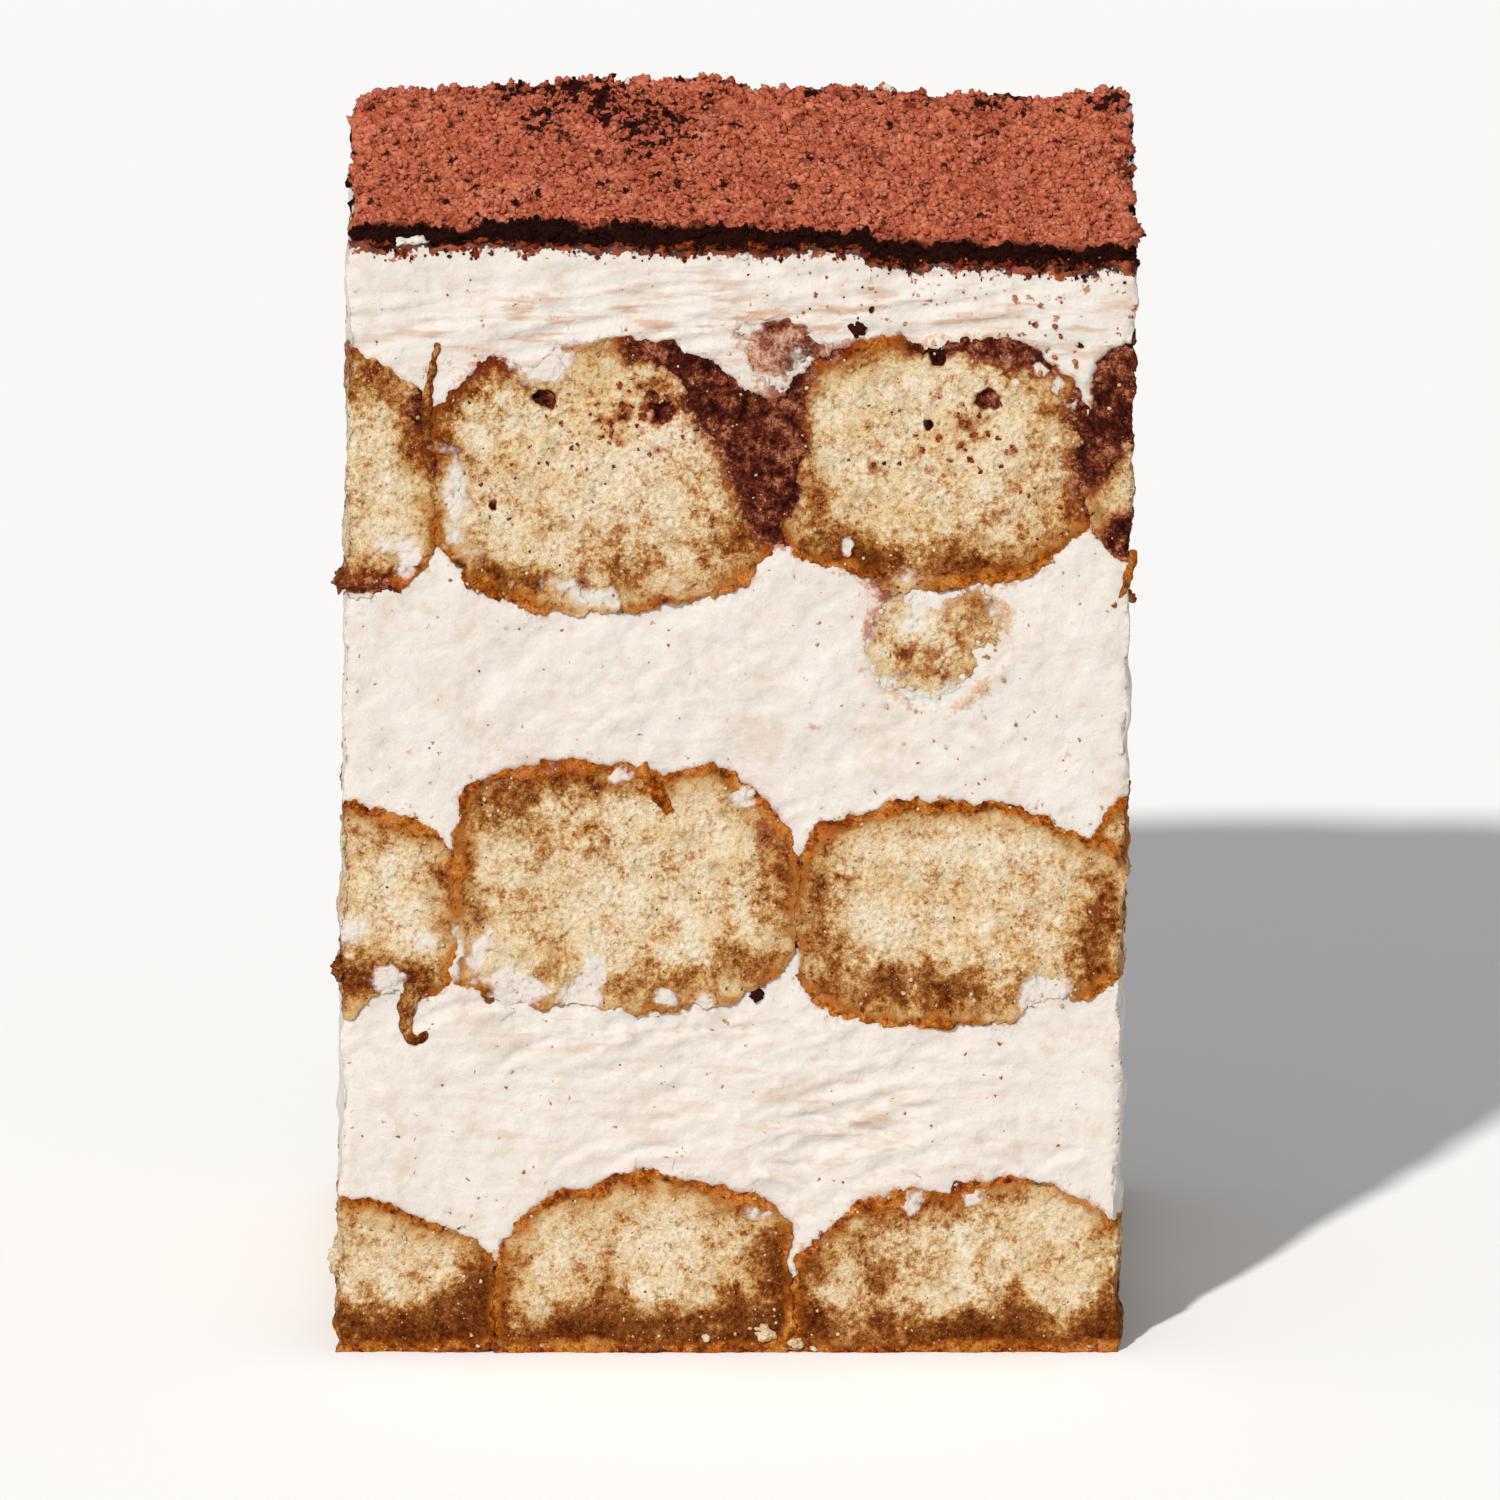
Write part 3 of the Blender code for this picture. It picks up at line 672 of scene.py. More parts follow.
# Marks on the front cut of each finger, as (share across, share up, half width and height in mm, amount)
FINGERS = {
    "finger_top_left": dict(
        soak=(
            (0.4, 0.9, 6.5, 5.0, 0.5), (0.15, 0.75, 4.0, 3.5, 0.12), (0.98, 0.5, 2.0, 8.0, 0.5),
            (0.3, 0.08, 5.0, 2.4, 0.65), (0.6, 0.62, 3.0, 2.4, 0.15),
        ),
        wine=(
            (0.88, 0.8, 1.2, 2.6, 1.0), (0.05, 0.06, 2.6, 1.3, 0.6), (0.6, 0.02, 1.6, 1.0, 0.6),
            (1.05, 0.5, 0.9, 6.0, 0.36), (0.15, 0.93, 1.6, 1.0, 0.3), (0.35, 0.03, 1.2, 0.9, 0.5),
        ),
        cream=((0.72, 0.16, 1.1, 1.2, 0.8), (0.45, 0.24, 2.6, 1.4, 0.45), (0.1, 0.0, 2.0, 0.8, 0.5)),
        bare=((0.4, 1.0, 7.0, 5.0, 1.2), (1.0, 0.5, 1.6, 5.5, 0.75)),
    ),
    "finger_top_mid": dict(
        ahead=0.22,
        soak=(
            (0.12, 0.86, 5.0, 4.2, 0.8), (0.03, 0.66, 1.6, 5.0, 0.5), (0.21, 0.13, 4.6, 2.0, 0.8),
            (0.57, 0.11, 2.2, 2.0, 0.55), (0.66, 0.2, 2.2, 2.2, 0.45), (0.9, 0.26, 3.0, 3.5, 0.45),
            (0.94, 0.48, 2.6, 4.0, 0.5), (0.79, 0.82, 5.5, 3.4, 0.72), (0.3, 0.64, 2.0, 1.6, 0.15),
        ),
        wine=(
            (0.61, 0.96, 2.4, 1.2, 0.9), (0.76, 0.92, 2.8, 1.3, 1.1), (0.88, 0.84, 3.4, 1.8, 1.2),
            (0.93, 0.7, 3.4, 2.8, 1.2), (0.97, 0.52, 2.6, 3.4, 1.1), (1.0, 0.36, 1.5, 3.0, 0.9),
            (0.14, 0.92, 4.2, 2.6, 0.55), (0.78, 0.76, 3.4, 2.4, 0.42), (-0.02, 0.6, 1.1, 6.5, 0.42),
            (0.04, 0.85, 1.6, 2.4, 0.3), (0.095, 0.43, 0.5, 0.5, 0.6), (0.554, 0.62, 0.6, 0.5, 0.6),
            (0.565, 0.715, 0.7, 0.6, 0.7), (0.497, 0.705, 0.5, 0.5, 0.6), (0.664, 0.594, 0.5, 0.5, 0.55),
            (0.62, 0.66, 0.4, 0.5, 0.6), (0.444, 0.094, 0.8, 0.9, 0.6), (0.696, 0.035, 0.8, 0.5, 0.65),
            (0.77, 0.105, 0.9, 0.7, 0.45),
        ),
        cream=(
            (0.32, 0.92, 2.6, 1.8, 1.2), (0.06, 0.4, 1.4, 3.8, 0.8), (0.5, 0.04, 2.4, 1.0, 0.7),
            (0.38, 0.1, 1.6, 1.2, 0.45), (0.1, 0.2, 1.8, 1.2, 0.4), (0.16, 0.94, 0.7, 0.6, 0.5),
            (0.72, 0.1, 1.6, 0.8, 0.4),
        ),
        specks=((0.6, 0.72, 6.0, 3.8, 1.0), (0.2, 0.45, 6.0, 5.0, 0.4)),
        pits=((0.34, 0.78, 0.85), (0.685, 0.725, 0.9), (0.655, 0.79, 0.45), (0.177, 0.39, 0.4)),
        bare=(
            (0.47, 0.0, 5.0, 2.5, 1.3), (0.85, 0.05, 4.0, 3.0, 0.6), (0.3, 1.0, 5.0, 3.0, 1.0),
            (0.0, 0.5, 1.6, 6.5, 0.8),
        ),
        thick=((0.22, 0.1, 4.0, 2.5, 0.9), (0.8, 0.0, 3.0, 1.5, 0.6)),
    ),
    "finger_top_right": dict(
        soak=(
            (0.37, 0.94, 6.0, 1.4, 0.5), (0.7, 0.85, 4.0, 1.8, 0.45), (0.93, 0.58, 1.8, 5.0, 0.5),
            (0.9, 0.19, 2.6, 3.0, 0.5), (0.69, 0.07, 5.0, 1.8, 0.75), (0.52, 0.14, 2.4, 1.8, 0.55),
            (0.17, 0.17, 4.5, 2.2, 0.75), (0.3, 0.12, 3.0, 2.0, 0.7), (0.07, 0.4, 1.6, 4.0, 0.5),
            (0.02, 0.72, 2.2, 4.0, 0.5), (0.82, 0.66, 2.6, 2.4, 0.3),
        ),
        wine=(
            (0.0, 0.82, 1.9, 3.0, 1.1), (0.0, 0.58, 1.1, 4.0, 0.9), (0.0, 0.36, 1.1, 3.0, 0.8),
            (0.12, 0.94, 2.4, 1.2, 1.0), (0.46, 0.97, 2.4, 1.1, 0.8), (0.64, 0.96, 3.0, 1.2, 0.9),
            (0.79, 0.9, 3.0, 1.2, 0.9), (1.0, 0.72, 2.6, 4.6, 1.2), (1.0, 0.42, 1.8, 3.4, 1.0),
            (0.58, 0.64, 0.6, 0.5, 0.7), (0.56, 0.56, 0.5, 0.5, 0.65), (0.28, 0.49, 0.45, 0.5, 0.65),
            (0.46, 0.465, 0.6, 0.5, 0.65), (0.69, 0.30, 1.1, 0.45, 0.6), (0.73, 0.55, 0.5, 0.5, 0.5),
            (0.33, 0.05, 1.9, 1.8, 0.45),
        ),
        cream=(
            (0.38, 0.05, 1.1, 1.1, 0.5), (0.8, 0.87, 1.0, 0.6, 0.8), (0.195, 0.175, 0.5, 0.6, 1.0),
            (0.87, 0.8, 0.6, 0.9, 0.75), (0.92, 0.71, 0.6, 0.6, 0.7), (0.74, 0.8, 0.5, 0.4, 0.6),
        ),
        specks=((0.53, 0.58, 6.0, 4.0, 0.8), (0.85, 0.35, 3.0, 2.0, 0.5)),
        pits=((0.64, 0.74, 0.9), (0.485, 0.9, 0.6), (0.455, 0.64, 0.35)),
        bare=((0.34, 0.0, 3.0, 2.5, 1.2), (0.85, 0.95, 5.0, 3.0, 0.6), (1.0, 0.6, 3.0, 5.0, 1.0)),
        thick=((0.2, 0.05, 4.5, 2.0, 0.6), (0.8, 0.0, 6.0, 2.5, 0.6)),
    ),
    "finger_top_edge": dict(
        swell=0.9,
        ahead=0.25,
        soak=((0.5, 0.3, 4.0, 3.0, 0.35),),
        wine=(
            (0.5, 0.95, 3.0, 3.0, 1.4), (0.4, 0.68, 3.0, 2.6, 1.4), (0.0, 0.45, 1.6, 2.0, 1.2),
            (0.65, 0.09, 1.5, 1.7, 1.4),
        ),
        bare=((0.5, 0.5, 9.0, 9.0, 0.8),),
    ),
    "finger_middle_left": dict(
        soak=(
            (0.4, 0.95, 6.0, 1.6, 0.3), (0.95, 0.6, 1.8, 5.0, 0.35), (0.5, 0.78, 5.0, 3.0, 0.18),
            (0.55, 0.14, 3.0, 3.0, 0.9), (0.05, 0.2, 2.6, 2.8, 0.8), (0.35, 0.6, 1.2, 2.4, 0.15),
        ),
        wine=((0.12, 0.87, 0.6, 0.4, 0.5), (0.6, 0.1, 1.6, 1.6, 0.35)),
        cream=((0.36, 0.12, 1.2, 2.2, 1.0), (0.1, 0.4, 1.9, 1.6, 0.65), (0.74, 0.35, 1.0, 1.4, 0.7)),
        bare=((0.2, 0.03, 4.0, 3.0, 1.2), (0.5, 0.0, 2.0, 3.0, 1.0), (1.0, 0.5, 1.6, 6.0, 0.7)),
        thick=((0.4, 1.0, 7.0, 3.0, 0.8),),
    ),
    "finger_middle_mid": dict(
        ahead=0.22,
        soak=(
            (0.16, 0.86, 5.0, 3.2, 0.6), (0.04, 0.6, 2.0, 5.0, 0.45), (0.42, 0.92, 5.5, 2.0, 0.62),
            (0.3, 0.74, 4.0, 2.0, 0.24), (0.78, 0.95, 3.0, 1.3, 0.4), (0.96, 0.52, 2.0, 6.0, 0.42),
            (0.88, 0.25, 4.0, 3.0, 0.45), (0.71, 0.16, 6.0, 2.2, 0.42), (0.54, 0.1, 6.0, 2.0, 0.5),
            (0.1, 0.07, 1.2, 1.2, 0.8), (0.26, 0.15, 3.0, 1.2, 0.5), (0.17, 0.42, 2.0, 1.6, 0.22),
            (0.04, 0.3, 1.4, 2.5, 0.4),
        ),
        wine=(
            (0.29, 0.97, 1.4, 0.8, 0.4), (0.11, 0.04, 0.8, 0.9, 0.5), (0.9, 0.68, 0.5, 0.8, 0.6),
            (0.56, 0.14, 0.5, 0.7, 0.5), (0.86, 0.16, 0.7, 0.5, 0.4), (0.12, 0.87, 2.5, 1.5, 0.16),
        ),
        cream=(
            (0.17, 0.1, 2.0, 1.9, 1.0), (0.405, 0.14, 1.1, 2.2, 1.0), (0.85, 0.85, 1.2, 1.4, 0.7),
            (0.07, 0.22, 0.9, 2.2, 0.6), (0.28, 0.08, 2.6, 0.9, 0.5), (0.62, 0.06, 1.2, 0.8, 0.6),
            (0.5, 0.95, 1.4, 1.0, 0.7), (0.0, 0.2, 0.8, 3.4, 0.8), (0.36, 0.04, 2.0, 0.8, 0.6),
            (0.74, 0.03, 1.4, 0.9, 0.7), (0.1, 0.3, 1.2, 1.4, 0.35),
        ),
        bare=(
            (0.42, 0.0, 5.0, 2.5, 1.2), (0.12, 0.03, 2.5, 2.0, 0.8), (0.0, 0.45, 1.6, 6.0, 0.6),
            (1.0, 0.5, 1.8, 6.0, 0.8), (0.8, 0.0, 3.0, 2.0, 0.6),
        ),
        thick=((0.15, 0.9, 5.0, 3.0, 0.5), (0.8, 0.95, 5.0, 2.0, 0.4)),
    ),
    "finger_middle_right": dict(
        soak=(
            (0.5, 0.98, 11.0, 1.0, 0.3), (0.05, 0.63, 2.8, 4.5, 0.5), (0.08, 0.32, 3.0, 3.0, 0.42),
            (0.24, 0.18, 5.5, 2.6, 0.48), (0.47, 0.14, 6.0, 2.6, 0.6), (0.66, 0.17, 3.6, 2.2, 0.5),
            (0.9, 0.37, 2.8, 3.5, 0.5), (0.96, 0.54, 1.8, 4.0, 0.52), (0.92, 0.17, 2.4, 2.0, 0.5),
            (0.4, 0.3, 0.6, 2.5, 0.3), (0.56, 0.32, 0.6, 2.5, 0.3), (0.69, 0.33, 0.6, 2.0, 0.3),
        ),
        wine=((0.93, 0.48, 1.2, 1.2, 0.45), (0.12, 0.88, 1.2, 0.7, 0.5), (0.64, 0.21, 0.5, 0.5, 0.5)),
        cream=((0.76, 0.1, 2.0, 2.2, 1.3),),
        pits=((0.715, 0.09, 0.4),),
        bare=((0.77, 0.03, 2.5, 2.5, 1.2), (0.0, 0.5, 2.0, 5.0, 0.85)),
        thick=((0.5, 1.0, 14.0, 3.0, 0.9), (0.35, 0.0, 7.0, 2.0, 0.4)),
    ),
    "finger_middle_edge": dict(
        ahead=0.22,
        soak=((0.5, 0.5, 4.0, 5.0, 0.5),),
    ),
    "finger_bottom_left": dict(
        soak=(
            (0.4, 0.12, 12.0, 2.9, 1.0), (0.92, 0.4, 3.0, 3.5, 0.7), (0.7, 0.6, 2.5, 3.0, 0.35),
            (0.1, 0.36, 2.0, 1.5, 0.35), (0.48, 0.36, 1.8, 1.4, -0.25), (0.62, 0.3, 1.2, 1.2, 0.3),
        ),
        cream=((0.52, 0.66, 0.8, 0.7, 0.45),),
        bare=((0.8, 0.55, 3.0, 3.0, 0.8), (1.0, 0.4, 1.5, 4.0, 0.5)),
        thick=((0.5, 0.0, 20.0, 1.5, 0.9), (0.3, 1.0, 6.0, 2.0, 0.7)),
    ),
    "finger_bottom_mid": dict(
        ahead=0.22,
        soak=(
            (0.5, 0.13, 20.0, 2.9, 1.05), (0.97, 0.5, 2.6, 5.0, 0.8), (0.02, 0.45, 1.4, 4.0, 0.45),
            (0.38, 0.36, 2.2, 1.5, 0.4), (0.14, 0.26, 2.0, 1.5, -0.35), (0.62, 0.32, 2.2, 1.2, -0.2),
            (0.8, 0.34, 1.2, 2.4, 0.4), (0.5, 0.6, 8.0, 4.0, 0.09),
        ),
        cream=((0.91, 0.82, 1.2, 0.7, 0.5),),
        bare=((0.93, 0.85, 3.0, 2.5, 0.6), (0.0, 0.4, 1.5, 4.0, 0.5), (1.0, 0.4, 1.5, 5.0, 0.4)),
        thick=((0.5, 0.0, 20.0, 1.5, 0.9), (0.4, 1.0, 9.0, 3.0, 0.7)),
    ),
    "finger_bottom_right": dict(
        soak=(
            (0.5, 0.12, 20.0, 2.6, 1.0), (0.04, 0.45, 2.4, 5.0, 0.7), (0.2, 0.8, 5.0, 2.8, 0.45),
            (0.5, 0.86, 5.0, 2.4, 0.6), (0.98, 0.45, 1.8, 5.0, 0.65), (0.27, 0.42, 1.6, 1.6, 0.75),
            (0.2, 0.56, 2.6, 1.8, 0.3), (0.7, 0.34, 1.8, 1.8, 0.55), (0.58, 0.5, 0.9, 3.0, 0.35),
            (0.15, 0.3, 2.0, 1.4, -0.4), (0.45, 0.32, 2.4, 1.4, -0.3), (0.85, 0.36, 2.4, 1.4, -0.3),
            (0.56, 0.24, 1.0, 1.8, 0.3),
        ),
        wine=((0.485, 0.73, 0.6, 0.6, 0.5), (0.5, 0.97, 0.9, 0.6, 0.6), (0.08, 0.24, 2.0, 1.4, 0.25)),
        cream=(
            (0.36, 0.85, 1.0, 1.1, 0.7), (0.57, 0.9, 1.2, 0.7, 0.7), (0.27, 0.62, 0.8, 1.6, 0.35),
            (0.92, 0.78, 1.6, 0.7, 0.5),
        ),
        bare=((0.85, 0.85, 5.0, 2.5, 0.6),),
        thick=((0.5, 0.0, 20.0, 1.5, 0.9), (0.2, 0.95, 8.0, 3.0, 0.6)),
    ),
}

CRUMB_RELIEF = (
    (pattern("crumb_lumps", "CLOUDS", 2.4 * MM, noise_depth=2), 0.65 * MM, 0.5),
    (pitted(pattern("crumb_pores", "VORONOI", 0.85 * MM), 0.4), 0.3 * MM, 1.0),
    (pattern("crumb_grit", "CLOUDS", 0.35 * MM, noise_depth=1), 0.26 * MM, 0.5),
)
CREAM_SWELL = 0.45 * MM


def press_pits(piece, box, pits):
    """Sinks small round holes in the front cut and paints them dark."""
    points = points_of(piece)
    low, high = box
    dark = np.zeros(len(points))
    ragged = np.ones(len(points))
    if pits:
        for row in np.flatnonzero(front_only(points) > 0.01):
            ragged[row] = 1.0 + 0.55 * noise.noise(Vector(points[row]) / (0.7 * MM))
    for across, up, radius in pits:
        x = low.x + across * (high.x - low.x)
        z = low.z + up * (high.z - low.z)
        reach = np.hypot(points[:, 0] - x, points[:, 2] - z) / (radius * MM) * ragged
        hole = np.exp(-(reach**4)) * front_only(points)
        points[:, 1] += 1.1 * radius * MM * hole
        dark += 1.5 * hole
    move_points(piece, points)
    return dark


def sponge_piece(name, node, finish, marks, skin=1.0, proud=0.0, buried=0.0):
    piece = worked_copy(name, [node], marks.get("swell", 0.3) * MM)
    split_front(piece)
    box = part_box(node)
    points = points_of(piece)
    rim = skin_distance(piece, [node])
    front = front_only(points)
    front_share = 0.35 + 0.65 * front_only(points, 30.0 * MM)
    up = (points[:, 2] - box[0].z) / (box[1].z - box[0].z)
    crust = skin * (1.0 - spots(points, box, marks.get("bare", ())) * front_share)
    paint(piece, "rim", rim)
    paint(piece, "crust", crust + spots(points, box, marks.get("thick", ())))
    soak = 0.2 + 0.72 * spots(points, box, marks.get("soak", ())) * front_share + 0.06 * np.exp(-rim / 1.4)
    soak += 0.5 * np.exp(-((up / 0.22) ** 2)) * (1.0 - front_share)
    paint(piece, "soak", soak)
    paint(piece, "cream", spots(points, box, marks.get("cream", ())) * front + buried * np.exp(-rim / 1.1))
    paint(piece, "specks", spots(points, box, marks.get("specks", ())) * front_share)
    wobble(piece, rim, 0.3, 0.6)
    ease_corners(piece)
    wine = spots(points, box, marks.get("wine", ())) * front_share + press_pits(piece, box, marks.get("pits", ()))
    paint(piece, "wine", wine)
    relief(piece, CRUMB_RELIEF, group_from(piece, "cut_faces", on_cuts(points)))
    shaped = points_of(piece)
    shaped[:, 1] -= (proud * smooth(rim, -0.2, 2.0) + marks.get("ahead", 0.1) * MM) * front
    move_points(piece, shaped)
    stand_flat(piece)
    finished(piece, finish, frame_slot(node), node)
    return piece


def frame_slot(node):
    return "soaked_sponge" if node in ("finger_top_edge", "soaked_seam") else "sponge"


def finished(piece, finish, slot, *nodes):
    """Smooths a piece, gives it its finish and hands it to the frame."""
    only(piece)
    bpy.ops.object.shade_smooth()
    piece.data.materials.clear()
    piece.data.materials.append(finish)
    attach(piece, "root")
    if nodes:
        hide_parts(*nodes)


# ---------------------------------------------------------------- cream

CREAM_RELIEF = (
    (pattern("cream_swell", "CLOUDS", 8.0 * MM, noise_depth=1), 0.8 * MM, 0.5),
    (pattern("cream_folds", "CLOUDS", 2.2 * MM, noise_depth=1), 0.3 * MM, 0.5),
    (pattern("cream_pocks", "CLOUDS", 0.8 * MM, noise_depth=1), 0.12 * MM, 0.5),
)


def streaks(piece, length, width, height, tilt, share):
    """Drags long shallow ridges across the front cut, as a knife leaves in cream."""
    points = points_of(piece)
    turned_x = points[:, 0] * math.cos(tilt) + points[:, 2] * math.sin(tilt)
    turned_z = points[:, 2] * math.cos(tilt) - points[:, 0] * math.sin(tilt)
    front = share * front_only(points)
    lift = np.zeros(len(points))
    for row in np.flatnonzero(front > 0.01):
        place = Vector((turned_x[row] / length, 0.0, turned_z[row] / width))
        lift[row] = noise.fractal(place, 1.0, 2.0, 3)
    points[:, 1] -= lift * front * height
    move_points(piece, points)


def creases(piece, box, lines):
    """Presses short bowed creases into the front cut, each with a lip of cream pushed up below it."""
    points = points_of(piece)
    low, high = box
    front = front_only(points)
    for across, up, length, tilt, bow, depth in lines:
        x = (points[:, 0] - low.x - across * (high.x - low.x)) / MM
        z = (points[:, 2] - low.z - up * (high.z - low.z)) / MM
        along = x * math.cos(math.radians(tilt)) + z * math.sin(math.radians(tilt))
        aside = z * math.cos(math.radians(tilt)) - x * math.sin(math.radians(tilt))
        aside -= bow * (1.0 - (2.0 * along / length) ** 2)
        reach = np.exp(-((2.0 * along / length) ** 4)) * front
        points[:, 1] += depth * MM * reach * np.exp(-((aside / 0.4) ** 2))
        points[:, 1] -= 0.8 * depth * MM * reach * np.exp(-(((aside + 0.8) / 0.6) ** 2))
    move_points(piece, points)


def cream_piece(name, node, finish, marks):
    piece = worked_copy(name, [node], CREAM_SWELL)
    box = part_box(node)
    points = points_of(piece)
    front = front_only(points)
    rim = skin_distance(piece, [node])
    for layer in ("dust", "drag"):
        paint(piece, layer, spots(points, box, marks.get(layer, ())) * front)
    paint(piece, "crumb", spots(points, box, marks.get("crumb", ())) * front + 0.34 * np.exp(-((rim / 0.7) ** 2)))
    stain = spots(points, box, marks.get("stain", ())) * front + 0.16 * np.exp(-rim / 0.5)
    if box[1].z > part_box("soaked_seam")[0].z:
        stain += 0.12 * np.exp(-solid_distance(points, "finger_top_right") / 0.8)
        stain += 0.3 * np.exp(-solid_distance(points, "soaked_seam") / 0.8)
        stain += 0.3 * np.exp(-solid_distance(points, "cocoa_layer") / 1.0) * front
        stain += 1.3 * np.exp(-((solid_distance(points, "finger_top_edge") / 0.85) ** 4)) * front
    paint(piece, "stain", stain)
    below_cocoa = solid_distance(points, "cocoa_layer")
    paint(piece, "rust", (0.8 * np.exp(-((below_cocoa / 0.8) ** 2)) + 0.3 * np.exp(-below_cocoa / 1.4)) * front)
    under = smooth(solid_distance(points, node), 0.08, 0.4) * front
    wobble(piece, rim, 0.12, 0.3)
    ease_corners(piece)
    relief(piece, CREAM_RELIEF, group_from(piece, "cut_faces", on_cuts(points)))
    shaped = points_of(piece)
    shaped[:, 1] += 0.25 * MM * under
    move_points(piece, shaped)
    for neighbour, depth in marks.get("behind", {}).items():
        shaped = points_of(piece)
        shaped[:, 1] += depth * MM * np.exp(-((solid_distance(points, neighbour) / 0.9) ** 4)) * front
        move_points(piece, shaped)
    creases(piece, box, marks.get("creases", ()))
    for length, width, height, tilt, patch in marks.get("streaks", ()):
        streaks(piece, length * MM, width * MM, height * MM, math.radians(tilt), spots(points, box, patch))
    stand_flat(piece)
    finished(piece, finish, "cream", node)
    return piece


CREAMS = {
    "cream_lower": dict(
        drag=((0.5, 0.5, 34.0, 10.0, 0.25), (0.3, 0.75, 9.0, 3.0, 0.3), (0.66, 0.42, 8.0, 3.0, 0.35)),
        stain=((0.66, 0.45, 2.5, 1.5, 0.22), (0.1, 0.75, 2.0, 2.0, 0.16), (0.85, 0.75, 3.0, 1.5, 0.18)),
        crumb=((0.66, 0.95, 3.0, 1.0, 0.3), (0.92, 0.9, 1.5, 1.5, 0.35), (0.25, 0.92, 2.0, 1.0, 0.3)),
        creases=(
            (0.16, 0.78, 9.0, 12.0, 0.8, 0.35), (0.24, 0.66, 6.0, 25.0, 0.5, 0.25), (0.62, 0.43, 11.0, -8.0, 0.9, 0.45),
            (0.57, 0.3, 5.0, -20.0, 0.5, 0.45), (0.72, 0.52, 7.0, 14.0, 0.7, 0.3), (0.4, 0.35, 7.0, 8.0, 0.8, 0.25),
            (0.86, 0.6, 6.0, -12.0, 0.5, 0.25), (0.3, 0.35, 5.0, 30.0, 0.5, 0.22), (0.45, 0.72, 8.0, 5.0, 0.5, 0.22),
            (0.93, 0.35, 4.0, 20.0, 0.4, 0.3),
        ),
        streaks=((4.0, 1.6, 0.5, 15.0, ((0.4, 0.75, 24.0, 7.0, 0.8), (0.65, 0.4, 12.0, 7.0, 0.9))),),
    ),
    "cream_middle": dict(
        drag=((0.5, 0.5, 34.0, 14.0, 0.14),),
        stain=((0.69, 0.78, 2.0, 2.0, 0.55), (0.675, 0.66, 1.1, 1.8, 0.38), (0.72, 0.62, 5.0, 4.0, 0.16)),
        crumb=(
            (0.93, 0.35, 2.0, 1.5, 0.34), (0.85, 0.7, 3.0, 2.0, 0.3), (0.3, 0.3, 2.0, 1.5, 0.25),
            (0.6, 0.42, 0.9, 0.6, 0.45), (0.08, 0.36, 0.7, 0.5, 0.45), (0.86, 0.28, 1.0, 0.6, 0.4),
            (0.71, 0.52, 0.7, 1.2, 0.5), (0.8, 0.5, 2.0, 2.4, 0.28), (0.46, 0.95, 1.5, 0.8, 0.3),
        ),
        creases=((0.35, 0.45, 7.0, 25.0, 0.6, 0.14), (0.8, 0.4, 6.0, -20.0, 0.6, 0.16), (0.56, 0.2, 5.0, 35.0, 0.5, 0.16)),
        streaks=((6.0, 3.0, 0.3, 30.0, ((0.5, 0.5, 40.0, 14.0, 1.0),)),),
    ),
    "cream_top": dict(
        stain=(
            (0.52, 0.5, 3.0, 3.0, 0.25), (0.16, 0.42, 3.0, 1.4, 0.3), (0.27, 0.32, 3.0, 1.0, 0.3),
            (0.72, 0.5, 4.0, 1.2, 0.25), (0.93, 0.45, 3.0, 1.2, 0.22), (0.22, 0.7, 1.4, 0.8, 0.3),
            (0.56, 0.28, 3.0, 1.3, 0.34), (0.63, 0.42, 3.0, 1.0, 0.3),
        ),
        crumb=((0.22, 0.72, 1.2, 0.8, 0.4), (0.55, 0.75, 3.0, 1.2, 0.25), (0.88, 0.55, 4.0, 1.0, 0.25)),
        dust=((0.85, 0.75, 14.0, 4.5, 1.0), (0.6, 0.9, 8.0, 2.0, 0.6)),
        drag=((0.5, 0.62, 18.0, 4.0, 0.9), (0.15, 0.6, 10.0, 3.0, 0.7), (0.9, 0.6, 12.0, 4.0, 0.7)),
        behind={"finger_top_edge": 0.9},
        creases=((0.42, 0.62, 9.0, -9.0, 0.3, 0.3), (0.62, 0.68, 9.0, 12.0, 0.4, 0.25), (0.12, 0.6, 8.0, 12.0, 0.3, 0.25)),
        streaks=((11.0, 1.2, 0.65, 8.0, ((0.35, 0.6, 22.0, 4.0, 1.0), (0.75, 0.6, 20.0, 5.0, 0.6))),),
    ),
}


# ---------------------------------------------------------------- cocoa

COCOA_RELIEF = (
    (pattern("cocoa_swell", "CLOUDS", 5.0 * MM, noise_depth=1), 0.7 * MM, 0.5),
    (pattern("cocoa_clumps", "CLOUDS", 1.4 * MM, noise_depth=2), 1.2 * MM, 0.5),
    (pattern("cocoa_grains", "VORONOI", 0.8 * MM), -0.6 * MM, 0.4),
)


EDGE_WIDTH = 3.0 * MM  # how far the wet, dark edge of the cocoa reaches back from the front cut


